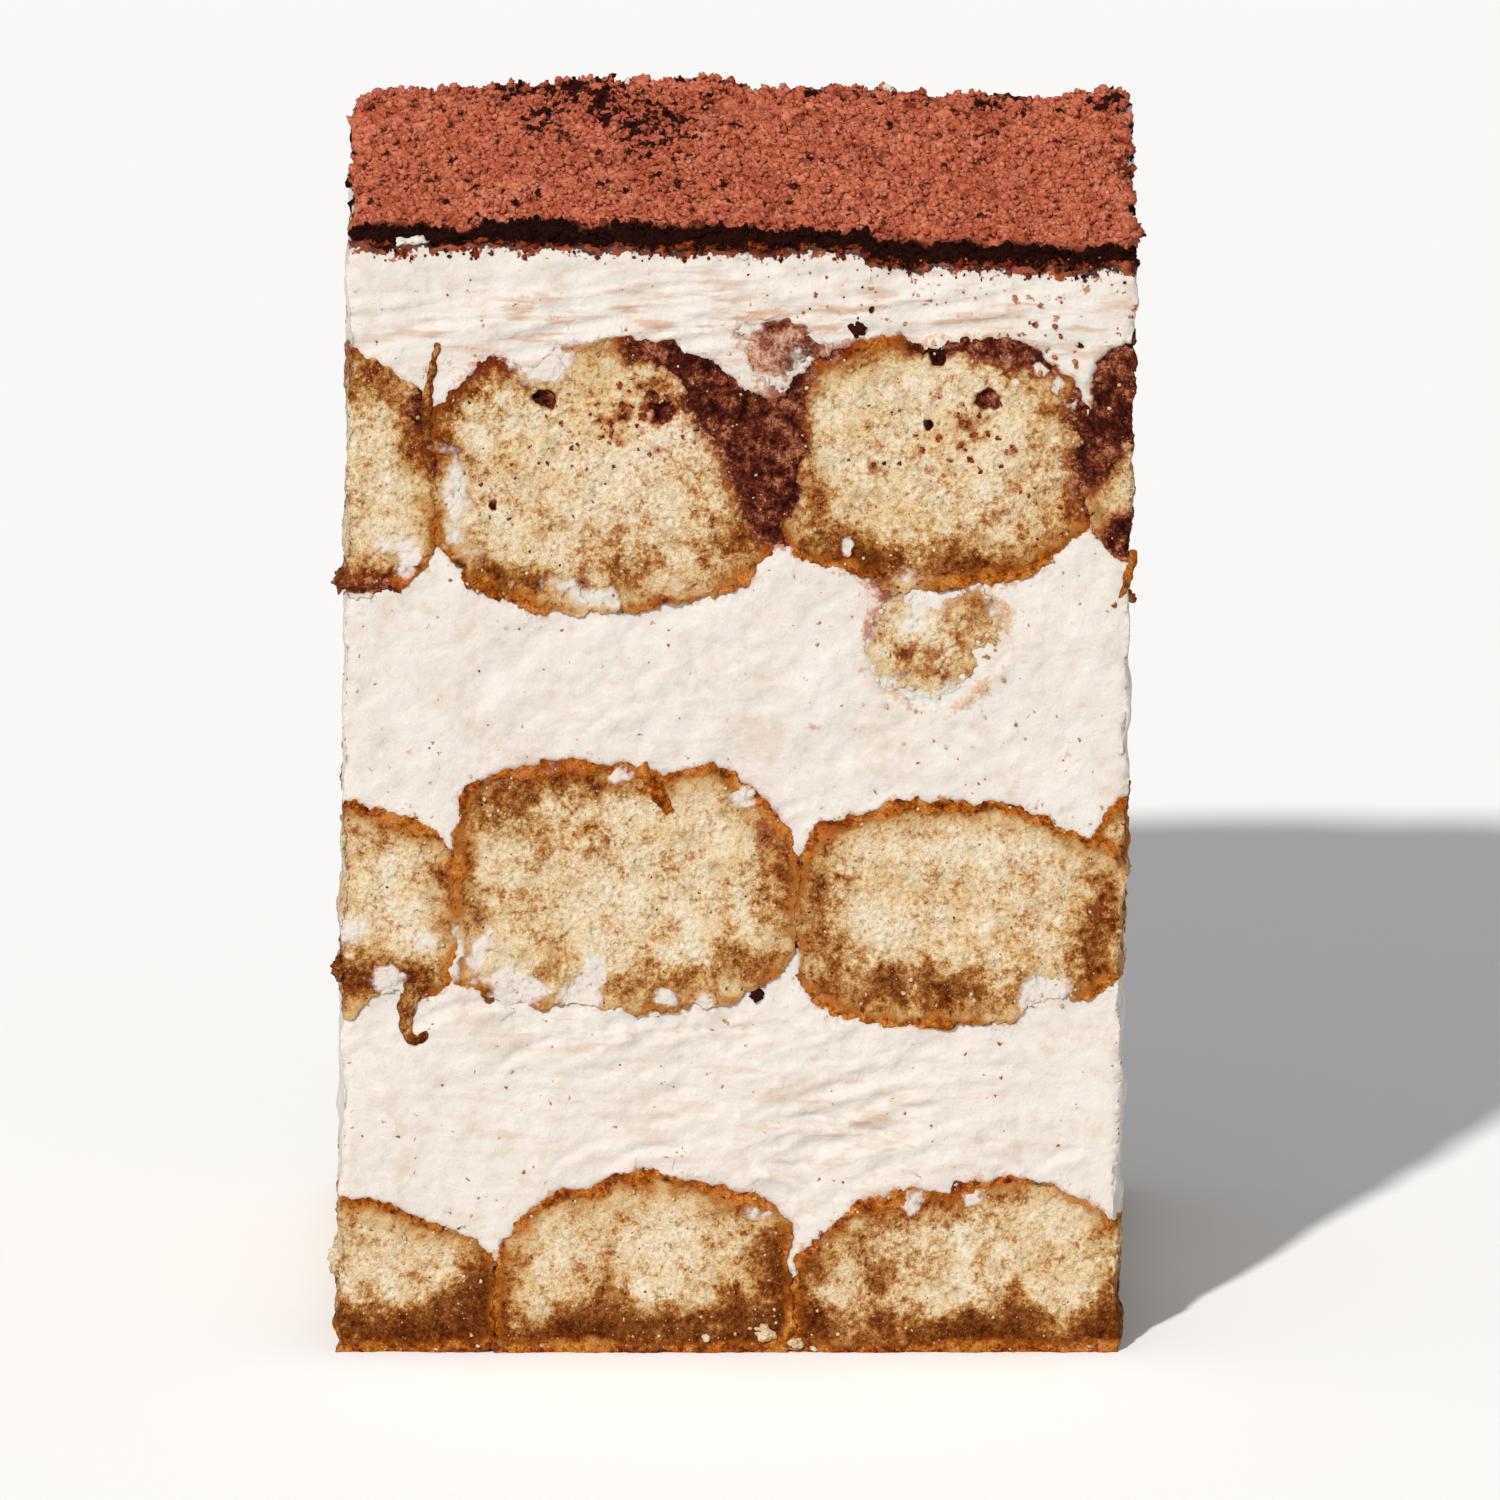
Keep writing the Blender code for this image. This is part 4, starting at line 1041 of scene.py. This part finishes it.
def cocoa_piece(finish):
    """A fine sheet laid on the cocoa's solid, with its edges pulled down and closed underneath."""
    node = "cocoa_layer"
    low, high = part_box(node)
    grain = 0.22 * MM
    columns = int((high.x - low.x) / grain)
    rows = int((high.y - low.y) / grain)
    bpy.ops.object.select_all(action="DESELECT")
    bpy.ops.mesh.primitive_grid_add(
        x_subdivisions=columns, y_subdivisions=rows, size=1.0, location=((low.x + high.x) / 2.0, 0.0, high.z + MM)
    )
    piece = bpy.context.object
    piece.name = "cocoa_blanket"
    piece.scale = ((high.x - low.x) * 0.997, (high.y - low.y) * 0.998, 1.0)
    bpy.ops.object.transform_apply(location=True, rotation=True, scale=True)
    apply_modifier(
        piece, "SHRINKWRAP", target=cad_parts[node], wrap_method="PROJECT", use_project_z=True,
        use_negative_direction=True, use_positive_direction=False,
    )
    bpy.ops.object.mode_set(mode="EDIT")
    bpy.ops.mesh.select_mode(type="EDGE")
    bpy.ops.mesh.select_all(action="DESELECT")
    bpy.ops.mesh.select_non_manifold()
    for _ in range(8):
        bpy.ops.mesh.extrude_region_move(TRANSFORM_OT_translate={"value": (0.0, 0.0, -0.2 * MM)})
    bpy.ops.mesh.edge_face_add()
    bpy.ops.mesh.select_all(action="SELECT")
    bpy.ops.mesh.normals_make_consistent(inside=False)
    bpy.ops.object.mode_set(mode="OBJECT")
    points = points_of(piece)
    sheet = (columns + 1) * (rows + 1)
    rim_drop = np.zeros(len(points))
    rim_drop[sheet:] = np.arange(len(points) - sheet) // ((len(points) - sheet) // 8) + 1.0
    front = 1.0 - smooth(points[:, 1] - low.y, 0.2 * MM, EDGE_WIDTH)
    sides = smooth(rim_drop, 2.0, 6.0)
    paint(piece, "damp", cocoa_damp(points, low, high))
    paint(piece, "edge", np.maximum(front, sides))
    paint(piece, "fringe", 0.62 * smooth(rim_drop, 3.5, 7.5) * front_only(points))
    wobble(piece, np.zeros(len(points)), 0.5, 0.7)
    ease_corners(piece)
    relief(piece, COCOA_RELIEF, group_from(piece, "shown", np.ones(len(points))))
    finished(piece, finish, "cocoa", node)
    return piece


def cocoa_damp(points, low, high):
    """How damp the cocoa is at each point, from the patches below."""
    span = high.y - low.y
    across = (points[:, 0] - low.x) / (high.x - low.x)
    back = (points[:, 1] - low.y) / span
    damp = np.zeros(len(points))
    for u, v, half_x, half_y, amount in DAMP_PATCHES:
        reach = ((across - u) * (high.x - low.x) / (half_x * MM)) ** 2 + ((back - v) * span / (half_y * MM)) ** 2
        damp += amount * np.exp(-reach)
    return damp


# Damp patches seen from above: share across, share back, half sizes in mm, amount
DAMP_PATCHES = (
    (0.24, 0.72, 3.2, 13.0, 0.5),
    (0.31, 0.86, 3.6, 8.0, 0.5),
    (0.375, 0.62, 3.4, 13.0, 0.58),
    (0.44, 0.72, 3.0, 12.0, 0.3),
    (0.4, 0.27, 7.0, 9.0, 0.3),
    (0.22, 0.97, 8.0, 3.5, 0.5),
    (0.63, 0.97, 3.4, 4.0, 0.6),
    (0.81, 0.96, 5.0, 5.0, 0.55),
    (0.98, 0.9, 2.4, 4.5, 0.6),
    (0.6, 0.3, 30.0, 30.0, 0.1),
)


def seed_shape(name, rings):
    """One small irregular clump, about 1 across, to be copied."""
    bpy.ops.object.select_all(action="DESELECT")
    bpy.ops.mesh.primitive_ico_sphere_add(subdivisions=rings, radius=0.5, location=(0.0, 0.0, 0.0))
    seed = bpy.context.object
    seed.name = name
    texture = pattern(name + "_lumps", "CLOUDS", 0.45, noise_depth=1)
    apply_modifier(seed, "DISPLACE", texture=texture, texture_coords="LOCAL", strength=0.55, mid_level=0.5)
    return seed


def scatter(name, seed, places, finish, slot):
    """Copies the seed to each (centre, size, squash) with its own turn, as one piece."""
    shape = points_of(seed)
    loops = [tuple(face.vertices) for face in seed.data.polygons]
    points, faces = [], []
    for centre, size, squash in places:
        turn = Euler((rng.uniform(0.0, 6.3), rng.uniform(0.0, 6.3), rng.uniform(0.0, 6.3))).to_matrix()
        stretch = np.array([rng.uniform(0.65, 1.25) for _ in range(3)])
        copy = (shape * stretch * size) @ np.array(turn).T
        copy[:, 2] *= squash
        first = len(points) * len(shape)
        points.append(copy + np.array(centre))
        faces.extend(tuple(first + corner for corner in loop) for loop in loops)
    mesh = bpy.data.meshes.new(name)
    mesh.from_pydata(np.concatenate(points).tolist(), [], faces)
    mesh.update()
    piece = bpy.data.objects.new(name, mesh)
    bpy.context.scene.collection.objects.link(piece)
    finished(piece, finish, slot)
    return piece


def cocoa_grains(blanket, finish):
    """Loose clumps lying on the cocoa."""
    low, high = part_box("cocoa_layer")
    seed = seed_shape("grain_seed", 1)
    places = []
    while len(places) < 8200:
        x = rng.uniform(low.x + 0.2 * MM, high.x - 0.2 * MM)
        y = rng.uniform(low.y + 0.3 * MM, high.y - 0.3 * MM)
        hit, spot, _, _ = blanket.ray_cast(Vector((x, y, high.z + 5.0 * MM)), Vector((0.0, 0.0, -1.0)))
        if hit:
            size = (0.36 + 0.5 * rng.random() ** 1.7) * MM
            places.append((spot + Vector((0.0, 0.0, 0.2 * size)), size, 1.0))
    piece = scatter("cocoa_grains", seed, places, finish, "cocoa")
    count = len(seed.data.vertices)
    centres = np.repeat(np.array([place[0] for place in places]), count, axis=0)
    sizes = np.repeat(np.array([place[1] for place in places]), count)
    paint(piece, "damp", cocoa_damp(centres, low, high))
    paint(piece, "edge", 0.95 * (1.0 - smooth(centres[:, 1] - low.y, 0.2 * MM, EDGE_WIDTH)))
    # each point's height on its grain, so the finish paints shade on the grain's lower half
    paint(piece, "relief", 1.0 * (points_of(piece) - centres)[:, 2] / sizes - 0.05)
    paint(piece, "fringe", np.zeros(len(centres)))
    bpy.data.objects.remove(seed)


# ---------------------------------------------------------------- loose bits


def touch(start, heading):
    """The first point of the portion met from start, or nothing."""
    view = bpy.context.evaluated_depsgraph_get()
    hit, spot, *_ = bpy.context.scene.ray_cast(view, start, heading)
    return spot if hit else None


def front_spot(x, z):
    return touch(Vector((x, -2.0 * DEPTH, z)), Vector((0.0, 1.0, 0.0)))


def in_box(node, across, up):
    low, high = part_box(node)
    return low.x + across * (high.x - low.x), low.z + up * (high.z - low.z)


def sprinkle_front(places, node, count, sizes, across=(0.0, 1.0), up=(0.0, 1.0)):
    """Adds small bits stuck to the front of a node, within the given shares of its box."""
    for _ in range(count):
        x, z = in_box(node, rng.uniform(*across), rng.uniform(*up))
        spot = front_spot(x, z)
        if spot:
            size = rng.uniform(*sizes) * MM
            places.append((spot - Vector((0.0, 0.12 * size, 0.0)), size, 1.0))


def loose_crumbs(finish):
    """Sponge crumbs, from pale to soaked, on the cuts and round the foot."""
    seed = seed_shape("crumb_seed", 1)
    places = []
    for node in FINGERS:
        low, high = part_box(node)
        area = (high.x - low.x) * (high.z - low.z) / MM**2
        sprinkle_front(places, node, int(area * 0.16), (0.18, 0.42), (0.04, 0.96), (0.05, 0.95))
    sprinkle_front(places, "torn_sponge_lump", 16, (0.25, 0.6))
    sprinkle_front(places, "torn_sponge_lump", 8, (0.25, 0.5), (-0.1, 1.1), (-0.4, 0.2))
    foot = len(places)
    for _ in range(36):
        size = 0.3 * MM + 0.5 * MM * rng.random() ** 2
        x = rng.uniform(-HALF_WIDTH, HALF_WIDTH - LEAN)
        places.append((Vector((x, -DEPTH / 2.0 - 0.1 * size, rng.uniform(0.3, 1.2) * size)), size, 0.8))
    piece = scatter("loose_crumbs", seed, places, finish, "sponge")
    corners = len(seed.data.vertices)
    soak = np.array([rng.choice((0.1, 0.25, 0.35, 0.5)) for _ in places])
    soak[foot:] = [rng.choice((0.3, 0.5, 0.6, 0.7)) for _ in places[foot:]]
    blank = np.zeros(len(places) * corners)
    paint(piece, "soak", np.repeat(soak, corners))
    paint(piece, "rim", blank + 9.0)
    for layer in ("crust", "wine", "cream", "specks", "relief"):
        paint(piece, layer, blank)
    bpy.data.objects.remove(seed)


def loose_specks(finish):
    """Specks of cocoa fallen on the cut."""
    seed = seed_shape("speck_seed", 1)
    places = []
    sprinkle_front(places, "finger_top_mid", 10, (0.2, 0.5), (0.45, 0.8), (0.5, 0.85))
    sprinkle_front(places, "finger_top_right", 7, (0.2, 0.45), (0.3, 0.75), (0.4, 0.8))
    sprinkle_front(places, "finger_top_right", 18, (0.25, 0.65), (0.7, 0.95), (0.84, 1.04))
    sprinkle_front(places, "cream_top", 40, (0.12, 0.34), (0.55, 1.0), (0.55, 0.95))
    sprinkle_front(places, "cream_top", 14, (0.12, 0.3), (0.0, 0.6), (0.6, 0.95))
    sprinkle_front(places, "cream_middle", 14, (0.1, 0.22))
    sprinkle_front(places, "cream_lower", 10, (0.1, 0.22))
    piece = scatter("loose_specks", seed, places, finish, "cocoa")
    corners = len(seed.data.vertices)
    blank = np.zeros(len(places) * corners)
    damp = np.array([rng.choice((0.2, 0.45, 0.6)) for _ in places])
    paint(piece, "damp", np.repeat(damp, corners))
    paint(piece, "edge", blank)
    paint(piece, "fringe", blank)
    paint(piece, "relief", blank - 0.15)
    bpy.data.objects.remove(seed)


def cocoa_drips(finish):
    """Rusty bits and short drips of wet cocoa hanging on the cream along the cocoa's front edge."""
    low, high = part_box("cocoa_layer")
    solid = bmesh.new()
    solid.from_mesh(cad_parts["cocoa_layer"].data)
    tree = BVHTree.FromBMesh(solid)
    solid.free()
    seed = seed_shape("drip_seed", 1)
    places = []
    for _ in range(230):
        x = rng.uniform(low.x + 0.4 * MM, high.x - 0.4 * MM)
        clumped = noise.noise(Vector((x / (3.0 * MM), 0.0, 4.0)))
        if rng.random() > 0.55 + 1.2 * clumped:
            continue
        under = tree.ray_cast(Vector((x, 0.2 * MM - DEPTH / 2.0, low.z - 3.0 * MM)), Vector((0.0, 0.0, 1.0)))[0]
        if under:
            drop = 0.25 * MM + 1.0 * MM * rng.random() ** 2.2
            spot = front_spot(x, under.z - drop)
            if spot:
                size = (0.22 + 0.4 * rng.random() ** 1.6) * MM
                places.append((spot - Vector((0.0, 0.05 * size, 0.0)), size, rng.choice((0.7, 0.9, 1.1, 1.6))))
    piece = scatter("cocoa_drips", seed, places, finish, "cocoa")
    corners = len(seed.data.vertices)
    blank = np.zeros(len(places) * corners)
    paint(piece, "fringe", np.repeat(np.array([rng.choice((0.4, 0.8, 1.2)) for _ in places]), corners))
    paint(piece, "edge", blank + 0.8)
    paint(piece, "damp", blank)
    paint(piece, "relief", blank)
    bpy.data.objects.remove(seed)


STRAND_LUMPS = pattern("strand_lumps", "CLOUDS", 0.9 * MM, noise_depth=1)
DAB_LUMPS = pattern("dab_lumps", "CLOUDS", 0.6 * MM, noise_depth=2)


def paint_evenly(piece, **values):
    """Paints the same value over a whole piece for each layer that the finishes read."""
    for layer in ("soak", "rim", "crust", "wine", "cream", "specks", "relief", "stain", "damp", "edge", "fringe"):
        paint(piece, layer, np.full(len(piece.data.vertices), values.get(layer, 9.0 if layer == "rim" else 0.0)))


def strand(name, stops, finish, slot, **values):
    """A torn strip lying on the front cut, through (node, share across, share up, half thickness in mm)."""
    bpy.ops.object.select_all(action="DESELECT")
    bpy.ops.curve.primitive_nurbs_path_add(location=(0.0, 0.0, 0.0))
    piece = bpy.context.object
    piece.name = name
    path = piece.data.splines[0]
    while len(path.points) < len(stops):
        path.points.add(1)
    for point, (node, across, up, thickness) in zip(path.points, stops):
        x, z = in_box(node, across, up)
        spot = front_spot(x, z)
        y = min(spot.y, 0.5 * MM - DEPTH / 2.0) if spot else -DEPTH / 2.0
        point.co = (x, y + 0.25 * thickness * MM, z, 1.0)
        point.radius = thickness
    piece.data.bevel_depth = MM
    piece.data.use_fill_caps = True
    bpy.ops.object.convert(target="MESH")
    apply_modifier(piece, "REMESH", mode="VOXEL", voxel_size=0.12 * MM)
    apply_modifier(piece, "DISPLACE", texture=STRAND_LUMPS, texture_coords="LOCAL", strength=0.6 * MM, mid_level=0.5)
    paint_evenly(piece, **values)
    finished(piece, finish, slot)


def dabs(name, places, finish, slot, **values):
    """Small lumps as one piece; each is (centre, half sizes in mm, tilt in degrees)."""
    lumps = []
    for centre, half_sizes, tilt in places:
        bpy.ops.object.select_all(action="DESELECT")
        bpy.ops.mesh.primitive_ico_sphere_add(subdivisions=4, radius=MM, location=centre)
        lump = bpy.context.object
        lump.scale = half_sizes
        lump.rotation_euler = (0.0, math.radians(tilt), 0.0)
        bpy.ops.object.transform_apply(location=True, rotation=True, scale=True)
        strength = 2.2 * min(half_sizes) * MM
        apply_modifier(lump, "DISPLACE", texture=DAB_LUMPS, texture_coords="LOCAL", strength=strength, mid_level=0.55)
        lumps.append(lump)
    bpy.ops.object.select_all(action="DESELECT")
    for lump in lumps:
        lump.select_set(True)
    bpy.context.view_layer.objects.active = lumps[0]
    bpy.ops.object.join()
    lumps[0].name = name
    paint_evenly(lumps[0], **values)
    finished(lumps[0], finish, slot)


def on_front(node, across, up, ahead=0.0):
    """The shown point of the front cut at that share of a node's box."""
    x, z = in_box(node, across, up)
    spot = front_spot(x, z) or Vector((x, -DEPTH / 2.0, z))
    return spot - Vector((0.0, ahead * MM, 0.0))


# ---------------------------------------------------------------- making it

crumb = crumb_finish("sponge_crumb", CRUMB_TINTS)
stained_crumb = crumb_finish("stained_crumb", STAINED_TINTS)
cream = cream_finish("whipped_cream")
cocoa = cocoa_finish("cocoa_powder")

for node, marks in FINGERS.items():
    sponge_piece(node.replace("finger_", "cut_finger_"), node, crumb, marks)
sponge_piece("syrup_seam", "soaked_seam", crumb, dict(wine=((0.5, 0.5, 9.0, 16.0, 1.6),)), 0.0)
sponge_piece("torn_lump", "torn_sponge_lump", crumb, dict(
    swell=0.15,
    ahead=-0.3,
    soak=(
        (0.12, 0.55, 1.3, 0.8, 0.6), (0.26, 0.44, 0.9, 0.9, 0.5), (0.7, 0.4, 3.0, 3.0, 0.1),
        (0.95, 0.42, 1.2, 1.4, 0.35), (0.2, 0.9, 1.8, 1.0, 0.4),
    ),
    cream=((0.34, 0.72, 1.6, 1.0, 0.75), (0.3, 0.1, 3.0, 1.4, 0.5), (0.8, 0.05, 3.0, 1.4, 0.5), (0.45, 0.97, 1.4, 1.2, 0.8)),
    wine=((0.1, 0.95, 1.6, 2.0, 0.32), (0.6, 0.55, 5.0, 5.0, 0.12), (0.55, 0.24, 0.4, 0.35, 0.5)),
), 0.0, 0.45 * MM, 0.5)
sponge_piece("stained_lump", "coffee_stained_lump", stained_crumb, dict(
    swell=0.2,
    ahead=-0.25,
    soak=((0.5, 0.5, 6.0, 6.0, 0.3), (0.8, 0.6, 1.4, 2.0, 0.35), (0.45, 0.95, 2.0, 0.9, 0.3)),
    wine=((0.1, 0.35, 1.6, 2.2, 0.3), (0.6, 0.85, 2.2, 0.8, 0.3), (0.95, 0.5, 0.8, 1.6, 0.25)),
    cream=((0.62, 0.36, 0.6, 0.9, 0.35), (0.35, 0.05, 2.5, 1.2, 0.6), (0.05, 0.9, 1.4, 1.2, 0.5)),
), 0.0, 0.45 * MM, 0.4)
for node, marks in CREAMS.items():
    cream_piece("whipped_" + node, node, cream, marks)
blanket = cocoa_piece(cocoa)
cocoa_grains(blanket, cocoa)
loose_crumbs(crumb)
loose_specks(cocoa)
cocoa_drips(cocoa)
strand("torn_curl_top", (
    ("finger_top_left", 1.1, 1.04, 0.28), ("finger_top_left", 1.02, 0.96, 0.36), ("finger_top_left", 0.95, 0.84, 0.5),
    ("finger_top_left", 0.93, 0.7, 0.6), ("finger_top_left", 0.99, 0.56, 0.5), ("finger_top_left", 1.07, 0.42, 0.3),
), crumb, "sponge", soak=0.75, wine=0.22)
strand("torn_curl_middle", (
    ("finger_middle_left", 0.645, 0.143, 0.9), ("finger_middle_left", 0.56, 0.027, 0.75),
    ("finger_middle_left", 0.53, -0.07, 0.6), ("finger_middle_left", 0.6, -0.14, 0.45),
    ("finger_middle_left", 0.74, -0.12, 0.4), ("finger_middle_left", 0.81, -0.03, 0.3),
), crumb, "sponge", soak=0.8, wine=0.12)
strand("crust_flap", (
    ("finger_middle_mid", 0.545, 0.99, 0.5), ("finger_middle_mid", 0.565, 0.95, 0.8), ("finger_middle_mid", 0.59, 0.88, 0.85),
    ("finger_middle_mid", 0.62, 0.82, 0.75), ("finger_middle_mid", 0.63, 0.79, 0.5),
), crumb, "sponge", soak=0.4, crust=1.6, rim=0.0)
strand("syrup_drip", (
    ("finger_top_edge", 1.2, 0.0, 0.4), ("finger_top_edge", 1.12, -0.09, 0.45), ("finger_top_edge", 0.95, -0.16, 0.4),
    ("finger_top_edge", 0.7, -0.23, 0.35), ("finger_top_edge", 0.5, -0.28, 0.3),
), crumb, "soaked_sponge", soak=0.6, crust=1.0, rim=0.2)
TOP_AT_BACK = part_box("cocoa_layer")[1].z
dabs("cream_dabs", (
    (on_front("cocoa_layer", 0.068, 0.62, -0.1), (1.9, 0.5, 0.45), -4.0),
    (on_front("cocoa_layer", 0.5, 0.3, -0.1), (0.5, 0.35, 0.5), 20.0),
    (Vector((-9.2 * MM, DEPTH / 2.0 - 1.2 * MM, TOP_AT_BACK - 0.3 * MM)), (0.4, 0.5, 0.6), 0.0),
    (Vector((13.0 * MM, DEPTH / 2.0 - 1.0 * MM, TOP_AT_BACK - 0.8 * MM)), (0.5, 0.5, 0.5), 0.0),
), cream, "cream")
dabs("fallen_crumbs", (
    (on_front("finger_bottom_mid", 0.91, 0.12, 0.0), (1.1, 0.6, 0.7), 20.0),
    (on_front("finger_bottom_right", 0.01, 0.055, 0.0), (0.6, 0.5, 0.4), 0.0),
    (on_front("finger_bottom_mid", 0.71, 0.09, 0.0), (0.45, 0.4, 0.3), 0.0),
    (Vector((LOWER_LOW.x - 0.35 * MM, -DEPTH / 2.0 + 1.6 * MM, 7.6 * MM)), (0.8, 1.3, 1.6), 0.0),
), crumb, "sponge", soak=0.1)
dabs("soaked_crumbs", (
    (Vector((LOWER_HIGH.x + 0.75 * MM, -DEPTH / 2.0 + 1.0 * MM, 64.9 * MM)), (0.5, 0.6, 0.5), 0.0),
    (Vector((LOWER_LOW.x + 0.1 * MM, -DEPTH / 2.0 + 0.9 * MM, 66.4 * MM)), (0.8, 1.0, 0.9), 20.0),
    (Vector((LOWER_LOW.x + 0.0 * MM, -DEPTH / 2.0 + 0.9 * MM, 33.0 * MM)), (0.8, 1.0, 1.0), 0.0),
    (on_front("finger_middle_mid", 0.1, 0.03, -0.1), (0.5, 0.4, 0.8), 20.0),
), crumb, "sponge", soak=0.8, wine=0.1)
dabs("cocoa_lumps", (
    (Vector((TOP_HIGH.x - 0.2 * MM, -DEPTH / 2.0 + 8.0 * MM, 94.7 * MM)), (1.2, 2.4, 1.1), 0.0),
), cocoa, "cocoa", relief=-0.1)
dabs("wet_cocoa_beads", (
    (on_front("finger_middle_mid", 0.883, 0.052, 0.0), (0.6, 0.5, 0.6), 0.0),
    (on_front("cream_top", 0.65, 0.56, -0.15), (0.8, 0.4, 0.7), 20.0),
    (on_front("cream_top", 0.667, 0.68, -0.1), (0.3, 0.25, 0.4), 0.0),
), cocoa, "cocoa", damp=0.7)


# ---------------------------------------------------------------- floor, lights, camera

VIEW_RISE = 13.0  # degrees above the horizon
VIEW_DISTANCE = 3.0
VIEW_WIDTH = 125.8 * MM  # how much the view takes in at the front cut
VIEW_MIDDLE = Vector((1.3 * MM, -DEPTH / 2.0, 0.5365 * HEIGHT))


def lay_floor():
    bpy.ops.object.select_all(action="DESELECT")
    bpy.ops.mesh.primitive_plane_add(size=30.0, location=(0.0, 0.0, 0.0))
    floor = bpy.context.object
    floor.name = "floor"
    material, tree, shader = new_finish("pale_floor", roughness=0.9, specular=0.1)
    shader.inputs["Base Color"].default_value = (0.97, 0.97, 0.965, 1.0)
    floor.data.materials.append(material)


def hang_lights():
    world = bpy.data.worlds.new("studio")
    bpy.context.scene.world = world
    world.use_nodes = True
    world.node_tree.nodes["Background"].inputs["Color"].default_value = (0.97, 0.98, 1.0, 1.0)
    world.node_tree.nodes["Background"].inputs["Strength"].default_value = 0.38
    key = bpy.data.lights.new("key_light", "SUN")
    key.energy = 3.6
    key.angle = math.radians(2.5)
    key.color = (1.0, 0.975, 0.94)
    lamp = bpy.data.objects.new("key_light", key)
    bpy.context.scene.collection.objects.link(lamp)
    towards = Vector((-0.31, -0.78, 0.545))
    lamp.rotation_euler = towards.to_track_quat("Z", "Y").to_euler()


def set_camera():
    rise = math.radians(VIEW_RISE)
    back = Vector((0.0, -math.cos(rise), math.sin(rise)))
    lens = bpy.data.cameras.new("camera")
    lens.sensor_width = 36.0
    lens.lens = lens.sensor_width * VIEW_DISTANCE / VIEW_WIDTH
    lens.clip_start, lens.clip_end = 0.1, 100.0
    camera = bpy.data.objects.new("camera", lens)
    camera.location = VIEW_MIDDLE + back * VIEW_DISTANCE
    camera.rotation_euler = back.to_track_quat("Z", "Y").to_euler()
    bpy.context.scene.collection.objects.link(camera)
    bpy.context.scene.camera = camera


lay_floor()
hang_lights()
set_camera()
bpy.context.scene.view_settings.view_transform = "Standard"
